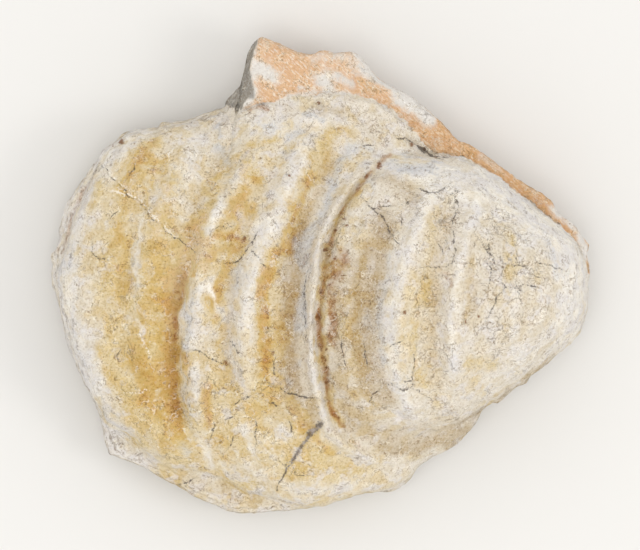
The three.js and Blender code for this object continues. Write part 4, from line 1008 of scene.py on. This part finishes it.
# What the material reads, point by point.
amounts = {
    "cream": stain(crept, CREAM),
    "fold": fold * seen * (1 - on_wing),
    "white": stain(crept, WHITE_WEAR_AND_LIGHT) * seen,
    "grey": stain(crept, SHADE_AND_SHEEN) * seen,
    "tan": stain(crept, TAN_STAIN_AND_SHADE) * seen,
    "ochre": stain(crept, OCHRE) * seen * (1 - on_wing),
    "brown": stain(xy + 0.3 * creep, BROWN) * seen,
    "rust": spots * seen,
    "orange": on_wing * (1 - stain(crept_wing, WING_PATCHES)),
    "wing_ochre": on_wing * stain(xy + 0.7 * creep, WING_OCHRE),
    "crazed": stain(crept, CRAZED) * seen,
    "gash": stain(xy + 0.25 * fine_creep, GASH) * seen,
    "beakwards": smoothstep((x - 8) / 16),
    "leaves": leaves * seen * (1 - on_wing),
    "inside_edge": inside_edge,
    "wing": on_wing,
    "wall": wall * smoothstep((points[:, 2] - 4) / 8),
    "crack_distance": np.where(seen > 0.5, crack_distance, 9),
    "crack_half": crack_half,
    "scratch_distance": np.where(seen > 0.5, scratch_distance, 9),
    "scratch_half": scratch_half,
}
for name, values in amounts.items():
    stone_mesh.attributes.new(name, "FLOAT", "POINT").data.foreach_set("value", values)


# ---- Chalky limestone -----------------------------------------------------------------------
# Weathered chalk: dull, rough and mottled at every size, cream where it is sound, white where it is
# rubbed, and ochre to rust where iron has soaked in. Painted light lightens the crests and the outer
# margin, and painted shade darkens the furrows, the steep faces and flanks, and the wing's left
# wall.
def linear(hex_colour):
    """An sRGB hex colour as linear red, green, blue and alpha."""
    srgb = np.array([int(hex_colour[k : k + 2], 16) for k in (1, 3, 5)]) / 255
    low, high = srgb / 12.92, ((srgb + 0.055) / 1.055) ** 2.4
    return (*np.where(srgb <= 0.04045, low, high), 1.0)


limestone = bpy.data.materials.new("chalky limestone")
limestone.use_nodes = True
tree = limestone.node_tree


def add(kind, inputs, out=0, **settings):
    """Adds a node with its settings. Each input is a value, a hex colour or the output that
    feeds it."""
    made = tree.nodes.new(kind)
    for key, value in settings.items():
        setattr(made, key, value)
    for socket, value in inputs.items():
        if isinstance(value, bpy.types.NodeSocket):
            tree.links.new(value, made.inputs[socket])
        else:
            value = linear(value) if isinstance(value, str) else value
            made.inputs[socket].default_value = value
    return made.outputs[out]


MATH, MIX, RANGE = "ShaderNodeMath", "ShaderNodeMix", "ShaderNodeMapRange"
NOISE, CELLS, VECTOR = "ShaderNodeTexNoise", "ShaderNodeTexVoronoi", "ShaderNodeVectorMath"
PRODUCT = {"operation": "MULTIPLY"}
SCALED = {"operation": "MULTIPLY_ADD"}  # input 0 times input 1, plus input 2
SOFT = {"interpolation_type": "SMOOTHSTEP"}
COLOURS = {"data_type": "RGBA", "out": 2}  # a Mix node's colours are its inputs 6 and 7

at = add("ShaderNodeTexCoord", {}, "Object")
at = add(VECTOR, {0: at, "Scale": 1 / MM}, operation="SCALE")  # in millimetres
elsewhere = add(VECTOR, {0: at, 1: (37.0, 11.0, 23.0)}, operation="ADD")
amount = {name: add("ShaderNodeAttribute", {}, "Fac", attribute_name=name) for name in amounts}
# Stains break up at 6 mm, the stone's own tone drifts over 3 to 4 mm and is mottled at 2.4 mm.
# Real chalk grain is too fine to show, so it is drawn at 0.5 mm.
blotch = add(NOISE, {"Vector": at, "Scale": 1 / 6, "Detail": 5.0, "Roughness": 0.6})
haze = add(NOISE, {"Vector": elsewhere, "Scale": 1 / 4, "Detail": 4.0, "Roughness": 0.5})
cloud = add(NOISE, {"Vector": at, "Scale": 1 / 3.2, "Detail": 3.0, "Roughness": 0.5})
mottle = add(NOISE, {"Vector": elsewhere, "Scale": 1 / 2.4, "Detail": 5.0, "Roughness": 0.68})
wriggle = add(NOISE, {"Vector": elsewhere, "Scale": 1 / 2.2, "Detail": 3.0, "Roughness": 0.6})
grain = add(NOISE, {"Vector": at, "Scale": 1 / 0.5, "Detail": 2.0, "Roughness": 0.9})


def ragged(value, low, high, noise=blotch, depth=1.5, most=1.0):
    """An amount whose soft edge is broken up by noise: 0 where the amount plus depth times
    (noise - 1/2) is under low, `most` where it is over high, and smoothstep between."""
    level = add(MATH, {0: value, 1: -depth / 2}, operation="ADD")
    level = add(MATH, {0: noise, 1: depth, 2: level}, **SCALED)
    ends = {"Value": level, "From Min": low, "From Max": high, "To Max": most}
    return add(RANGE, ends, **SOFT)


def layered(colour, layers):
    """Colours laid over a first one in order, each as (colour, how, factor): MIX covers what is
    under it, and MULTIPLY stains it like a glaze."""
    for over, how, factor in layers:
        colour = add(MIX, {0: factor, 6: colour, 7: over}, **COLOURS, blend_type=how)
    return colour


# Marbling: the chalk drifts between yellow, less so on the beak, and a lilac white.
patchy = add(RANGE, {"Value": mottle, "From Min": 0.34, "From Max": 0.66})
sound = add(MIX, {0: patchy, 6: "#d8cdb9", 7: "#f0e9de"}, **COLOURS)
yellow = add(RANGE, {"Value": haze, "From Min": 0.48, "From Max": 0.62, "To Max": 0.6}, **SOFT)
spared = add(MATH, {0: amount["beakwards"], 1: -0.6, 2: 1.0}, **SCALED)
yellow = add(MATH, {0: yellow, 1: spared}, **PRODUCT)
lilac = add(RANGE, {"Value": cloud, "From Min": 0.52, "From Max": 0.64, "To Max": 0.6}, **SOFT)
# The furrows take iron as tan and ochre and are darkened further as painted shade, and the crests
# are lightened, partly as rubbed chalk and partly as painted light.
furrow_stain_and_shade = add(RANGE, {"Value": amount["fold"], "From Min": -0.2, "From Max": -2.2})
crest_wear_and_light = add(RANGE, {"Value": amount["fold"], "From Min": 0.2, "From Max": 2.2})
deep_ochre = ragged(amount["ochre"], 0.45, 1.3, mottle, 2.2)
ochre = add(MIX, {0: deep_ochre, 6: "#f6e6b0", 7: "#e6c286"}, **COLOURS)
warm = add(RANGE, {"Value": haze, "From Min": 0.4, "From Max": 0.6})
rubbed_and_lit = add(MIX, {0: warm, 6: "#e4e1e1", 7: "#f9f5ed"}, **COLOURS)
shell = layered(sound, [
    ("#f7e9be", "MULTIPLY", ragged(amount["cream"], 0.1, 0.95, depth=1.3)),
    ("#f4e6bd", "MULTIPLY", yellow),
    ("#e9e4e4", "MIX", lilac),
    # furrows darkened: iron stain and painted shade
    ("#e2d2b6", "MULTIPLY", ragged(furrow_stain_and_shade, 0.2, 1.0, most=0.5)),
    # tan: iron stain, and painted shade on steep flanks
    ("#d6c7ab", "MULTIPLY", ragged(amount["tan"], 0.15, 1.0, mottle, 1.6, 0.8)),
    (ochre, "MULTIPLY", ragged(amount["ochre"], 0.2, 0.7, cloud, 1.8, 0.84)),
    # crests lightened: wear and painted light
    ("#f3ecdf", "MIX", ragged(crest_wear_and_light, 0.3, 1.0, mottle, 1.8, 0.25)),
    # white: rubbed chalk, and painted light on the crests and the outer margin
    (rubbed_and_lit, "MIX", ragged(amount["white"], 0.2, 1.05, mottle, 1.6, 0.75)),
    # grey-lilac: painted shade on steep faces, and a painted sheen near the hinge
    ("#cacbce", "MIX", ragged(amount["grey"], 0.2, 1.0, mottle, 1.7, 0.7)),
    ("#c2915e", "MULTIPLY", ragged(amount["brown"], 0.2, 1.0, mottle, 2.0, 0.8)),
])
# The wing breaks across fibrous shell: orange, with pale flecks about 0.4 by 1 mm that slant down to
# the right, worn white in patches, darker towards the beak as painted shade, and dark grey on its
# broken left end: the break's grey with painted shade.
slant = add("ShaderNodeMapping", {"Vector": at, "Rotation": (0, 0, 0.75)})
slant = add("ShaderNodeMapping", {"Vector": slant, "Scale": (0.7, 2.2, 1)})
flecks = add(NOISE, {"Vector": slant, "Scale": 1.3, "Detail": 3.0, "Roughness": 0.6})
flecks = add(RANGE, {"Value": flecks, "From Min": 0.5, "From Max": 0.64, "To Max": 0.75})
fibres = add(MIX, {0: patchy, 6: "#d6a676", 7: "#e6c49a"}, **COLOURS)
# The orange darkens towards the beak: painted shade.
wing_shade_beakwards = add(MATH, {0: amount["beakwards"], 1: 0.6}, **PRODUCT)
orange = layered(fibres, [
    ("#f5eadb", "MIX", flecks),
    ("#cfa362", "MIX", ragged(amount["wing_ochre"], 0.2, 0.9, mottle, 1.6, 0.8)),
    ("#ecd8ae", "MULTIPLY", wing_shade_beakwards),
])
worn_wing = add(MIX, {0: patchy, 6: "#dcd6cf", 7: "#efebe4"}, **COLOURS)
shaded_break = add(MIX, {0: patchy, 6: "#89837b", 7: "#aca69b"}, **COLOURS)
# Pale and dark grains lie in drifts, thinner on white places and on the wing, and few of the
# pale ones show in the ochre.
drift = add(RANGE, {"Value": blotch, "From Min": 0.35, "From Max": 0.65, "To Min": 0.5})
spared = add(MATH, {0: amount["wing"], 1: -0.55, 2: 1.0}, **SCALED)
spared = add(MATH, {0: amount["white"], 1: -0.5, 2: spared}, **SCALED)
drift = add(MATH, {0: drift, 1: spared}, **PRODUCT)
pale = add(RANGE, {"Value": grain, "From Min": 0.55, "From Max": 0.72, "To Max": 0.65})
spared = add(MATH, {0: amount["ochre"], 1: -0.7, 2: 1.0}, **SCALED)
pale = add(MATH, {0: pale, 1: add(MATH, {0: drift, 1: spared}, **PRODUCT)}, **PRODUCT)
dark = add(RANGE, {"Value": grain, "From Min": 0.46, "From Max": 0.27, "To Max": 0.95})
dark = add(MATH, {0: dark, 1: drift}, **PRODUCT)
# The edge is leafed: faint dark joints about a millimetre apart, broken and wandering.
JOINT_SPACING = 1.1
phase = add(MATH, {0: cloud, 1: 16.0}, **PRODUCT)
phase = add(MATH, {0: amount["inside_edge"], 1: 2 * np.pi / JOINT_SPACING, 2: phase}, **SCALED)
joints = add(MATH, {0: phase}, operation="SINE")
joints = add(RANGE, {"Value": joints, "From Min": 0.5, "From Max": 0.95})
leafed = ragged(amount["leaves"], 0.3, 0.9, mottle, 1.8, 0.35)
joints = add(MATH, {0: joints, 1: leafed}, **PRODUCT)


def contour(noise, half, chosen, low):
    """Thin wriggling lines, kept in places: 1 where |noise - 1/2| is under a third of `half` and
    0 where it is over it, times a ramp of another noise just over low."""
    off = add(MATH, {0: noise, 1: 0.5}, operation="SUBTRACT")
    off = add(MATH, {0: off}, operation="ABSOLUTE")
    line = add(RANGE, {"Value": off, "From Min": half, "From Max": half / 3})
    kept = add(RANGE, {"Value": chosen, "From Min": low, "From Max": low + 0.05})
    return add(MATH, {0: line, 1: kept}, **PRODUCT)


def crazing(size, half, chosen, low):
    """A net of fine cracks: the borders, 2 `half` wide, of cells of a size in millimetres on bent
    coordinates, times a ramp of a noise just over low, where a crazed place needs less of it."""
    edge = add(CELLS, {"Vector": bent, "Scale": 1 / size}, feature="DISTANCE_TO_EDGE")
    line = add(RANGE, {"Value": edge, "From Min": half / size, "From Max": half / size / 4})
    chosen = add(MATH, {0: amount["crazed"], 1: 0.09, 2: chosen}, **SCALED)
    kept = add(RANGE, {"Value": chosen, "From Min": low, "From Max": low + 0.06})
    return add(MATH, {0: line, 1: kept}, **PRODUCT)


def line_mask(kind):
    """1 on the lines of a kind and 0 off them: smoothstep of half width - |distance + 1.6 (mottle
    - 1/2)| + 1.1 grain + 0.5 wriggle - 0.82, so that a line is shaken and breaks up."""
    off = add(MATH, {0: amount[kind + "_distance"], 1: -0.8}, operation="ADD")
    off = add(MATH, {0: mottle, 1: 1.6, 2: off}, **SCALED)
    off = add(MATH, {0: off}, operation="ABSOLUTE")
    inside = add(MATH, {0: amount[kind + "_half"], 1: off}, operation="SUBTRACT")
    inside = add(MATH, {0: inside, 1: -0.82}, operation="ADD")
    inside = add(MATH, {0: wriggle, 1: 0.5, 2: inside}, **SCALED)
    inside = add(MATH, {0: grain, 1: 1.1, 2: inside}, **SCALED)
    return add(RANGE, {"Value": inside, "From Min": -0.06, "From Max": 0.08}, **SOFT)


# Frost-cracked skin: dark hairlines in two nets, dark scribbles and pale flaked edges. In the
# real stone they are hair-fine, and here they are drawn 0.1 to 0.2 mm wide.
bend = add(NOISE, {"Vector": at, "Scale": 1 / 3, "Detail": 4.0, "Roughness": 0.6}, "Color")
bent = add(VECTOR, {0: bend, 1: (3.5, 3.5, 3.5), 2: at}, **SCALED)
wide_net, fine_net = crazing(8, 0.1, mottle, 0.53), crazing(3.2, 0.08, blotch, 0.6)
hairs = add(MATH, {0: wide_net, 1: fine_net}, operation="MAXIMUM")
curled = {"Detail": 3.0, "Roughness": 0.6, "Distortion": 1.2}
swirl = add(NOISE, {"Vector": at, "Scale": 1 / 1.6, **curled})
curl = add(NOISE, {"Vector": elsewhere, "Scale": 1 / 1.3, **curled})
crazed = add(MATH, {0: amount["crazed"], 1: 0.08, 2: mottle}, **SCALED)
scribbles = contour(swirl, 0.03, crazed, 0.505)
long_flakes, short_flakes = contour(haze, 0.018, mottle, 0.5), contour(curl, 0.03, cloud, 0.56)
flakes = add(MATH, {0: long_flakes, 1: short_flakes}, operation="MAXIMUM")
cracks, scratches = line_mask("crack"), line_mask("scratch")
crumbs = add(RANGE, {"Value": mottle, "From Min": 0.42, "From Max": 0.58})
crumbled = add(MIX, {0: crumbs, 6: "#5b5048", 7: "#b3aaa6"}, **COLOURS)
stone_colour = layered(shell, [
    (worn_wing, "MIX", amount["wing"]),
    (orange, "MIX", ragged(amount["orange"], 0.15, 0.95, mottle, 1.6, 0.92)),
    # dark grey left wall of the wing: the break's grey with painted shade
    (shaded_break, "MIX", ragged(amount["wall"], 0.2, 0.8, mottle, 1.6, 0.9)),
    ("#fbf7f0", "MIX", pale),
    ("#af9469", "MULTIPLY", dark),
    ("#a8987e", "MULTIPLY", joints),
    ("#fdf6e6", "MIX", add(MATH, {0: flakes, 1: 0.5}, **PRODUCT)),
    ("#a08a68", "MULTIPLY", add(MATH, {0: scribbles, 1: 0.64}, **PRODUCT)),
    ("#77644c", "MIX", add(MATH, {0: hairs, 1: 0.42}, **PRODUCT)),
    ("#80552f", "MIX", ragged(amount["rust"], 0.3, 0.8, grain, 1.4, 0.9)),
    ("#f8f2e8", "MIX", add(MATH, {0: scratches, 1: 0.75}, **PRODUCT)),
    ("#584c41", "MIX", add(MATH, {0: cracks, 1: 0.8}, **PRODUCT)),
    (crumbled, "MIX", ragged(amount["gash"], 0.3, 0.9, grain, 2.4, 0.85)),
])
# Bump, in millimetres: the mottling and the grain stand up, cracks and hairlines are cut in.
relief = 0.0
for mark, rise in ((mottle, 1.0), (grain, 0.4), (cracks, -0.3), (hairs, -0.15), (flakes, 0.08)):
    relief = add(MATH, {0: mark, 1: rise, 2: relief}, **SCALED)
bump = add("ShaderNodeBump", {"Height": relief, "Distance": MM, "Strength": 1.0})
chalk = tree.nodes["Principled BSDF"]
tree.links.new(stone_colour, chalk.inputs["Base Color"])
tree.links.new(bump, chalk.inputs["Normal"])
chalk.inputs["Roughness"].default_value = 0.92
chalk.inputs["Diffuse Roughness"].default_value = 0.6
chalk.inputs["Specular IOR Level"].default_value = 0.3
stone_mesh.materials.append(limestone)


# ---- Floor ----------------------------------------------------------------------------------
# A pale painted board, dull and even, that the stone lies on. It is wide enough to fill every
# view, and nothing is fixed to it.
FLOOR_HALF = 4
corners = np.array([(-1, -1, 0), (1, -1, 0), (1, 1, 0), (-1, 1, 0)]) * FLOOR_HALF
floor_mesh = bpy.data.meshes.new("floor")
floor_mesh.from_pydata(corners.tolist(), [], [(0, 1, 2, 3)])
floor = bpy.data.objects.new("floor", floor_mesh)
bpy.context.collection.objects.link(floor)
board = bpy.data.materials.new("pale painted board")
board.use_nodes = True
paint = board.node_tree.nodes["Principled BSDF"]
paint.inputs["Base Color"].default_value = linear("#dedcd8")
floor_mesh.materials.append(board)


# ---- Lights ---------------------------------------------------------------------------------
# Plain studio light: an even white room, one soft box nearly overhead and a stronger one up on
# the right, which rounds the folds from the beak's side.
world = bpy.data.worlds.new("soft room light")
world.use_nodes = True
room = world.node_tree.nodes["Background"]
room.inputs["Color"].default_value = linear("#ffffff")
room.inputs["Strength"].default_value = 1.05
bpy.context.scene.world = world


def soft_light(name, place, size, watts):
    """A square soft box aimed at the stone."""
    lamp = bpy.data.lights.new(name, "AREA")
    lamp.energy = watts
    lamp.size = size
    box = bpy.data.objects.new(name, lamp)
    box.location = place
    box.rotation_euler = Vector(place).to_track_quat("Z", "Y").to_euler()
    box.visible_camera = False
    bpy.context.collection.objects.link(box)


soft_light("overhead soft box", (-0.1, -0.15, 1.15), 0.5, 1.9)
soft_light("right soft box", (0.85, -0.2, 1.0), 0.4, 2.4)


# ---- Camera ---------------------------------------------------------------------------------
# It looks straight down from well above, so that the stone's height hardly widens its outline,
# and takes in 128 mm across at the height of the stone's ledge.
CAMERA_HEIGHT = 2.4
LEDGE_LEVEL, VIEW_WIDTH = 0.012, 0.128
camera = bpy.data.objects.new("camera", bpy.data.cameras.new("camera"))
camera.data.sensor_width = 36
camera.data.lens = camera.data.sensor_width * (CAMERA_HEIGHT - LEDGE_LEVEL) / VIEW_WIDTH
camera.data.clip_end = 20
camera.location = (0, 0, CAMERA_HEIGHT)
bpy.context.collection.objects.link(camera)
bpy.context.scene.camera = camera
bpy.context.scene.view_settings.view_transform = "Standard"
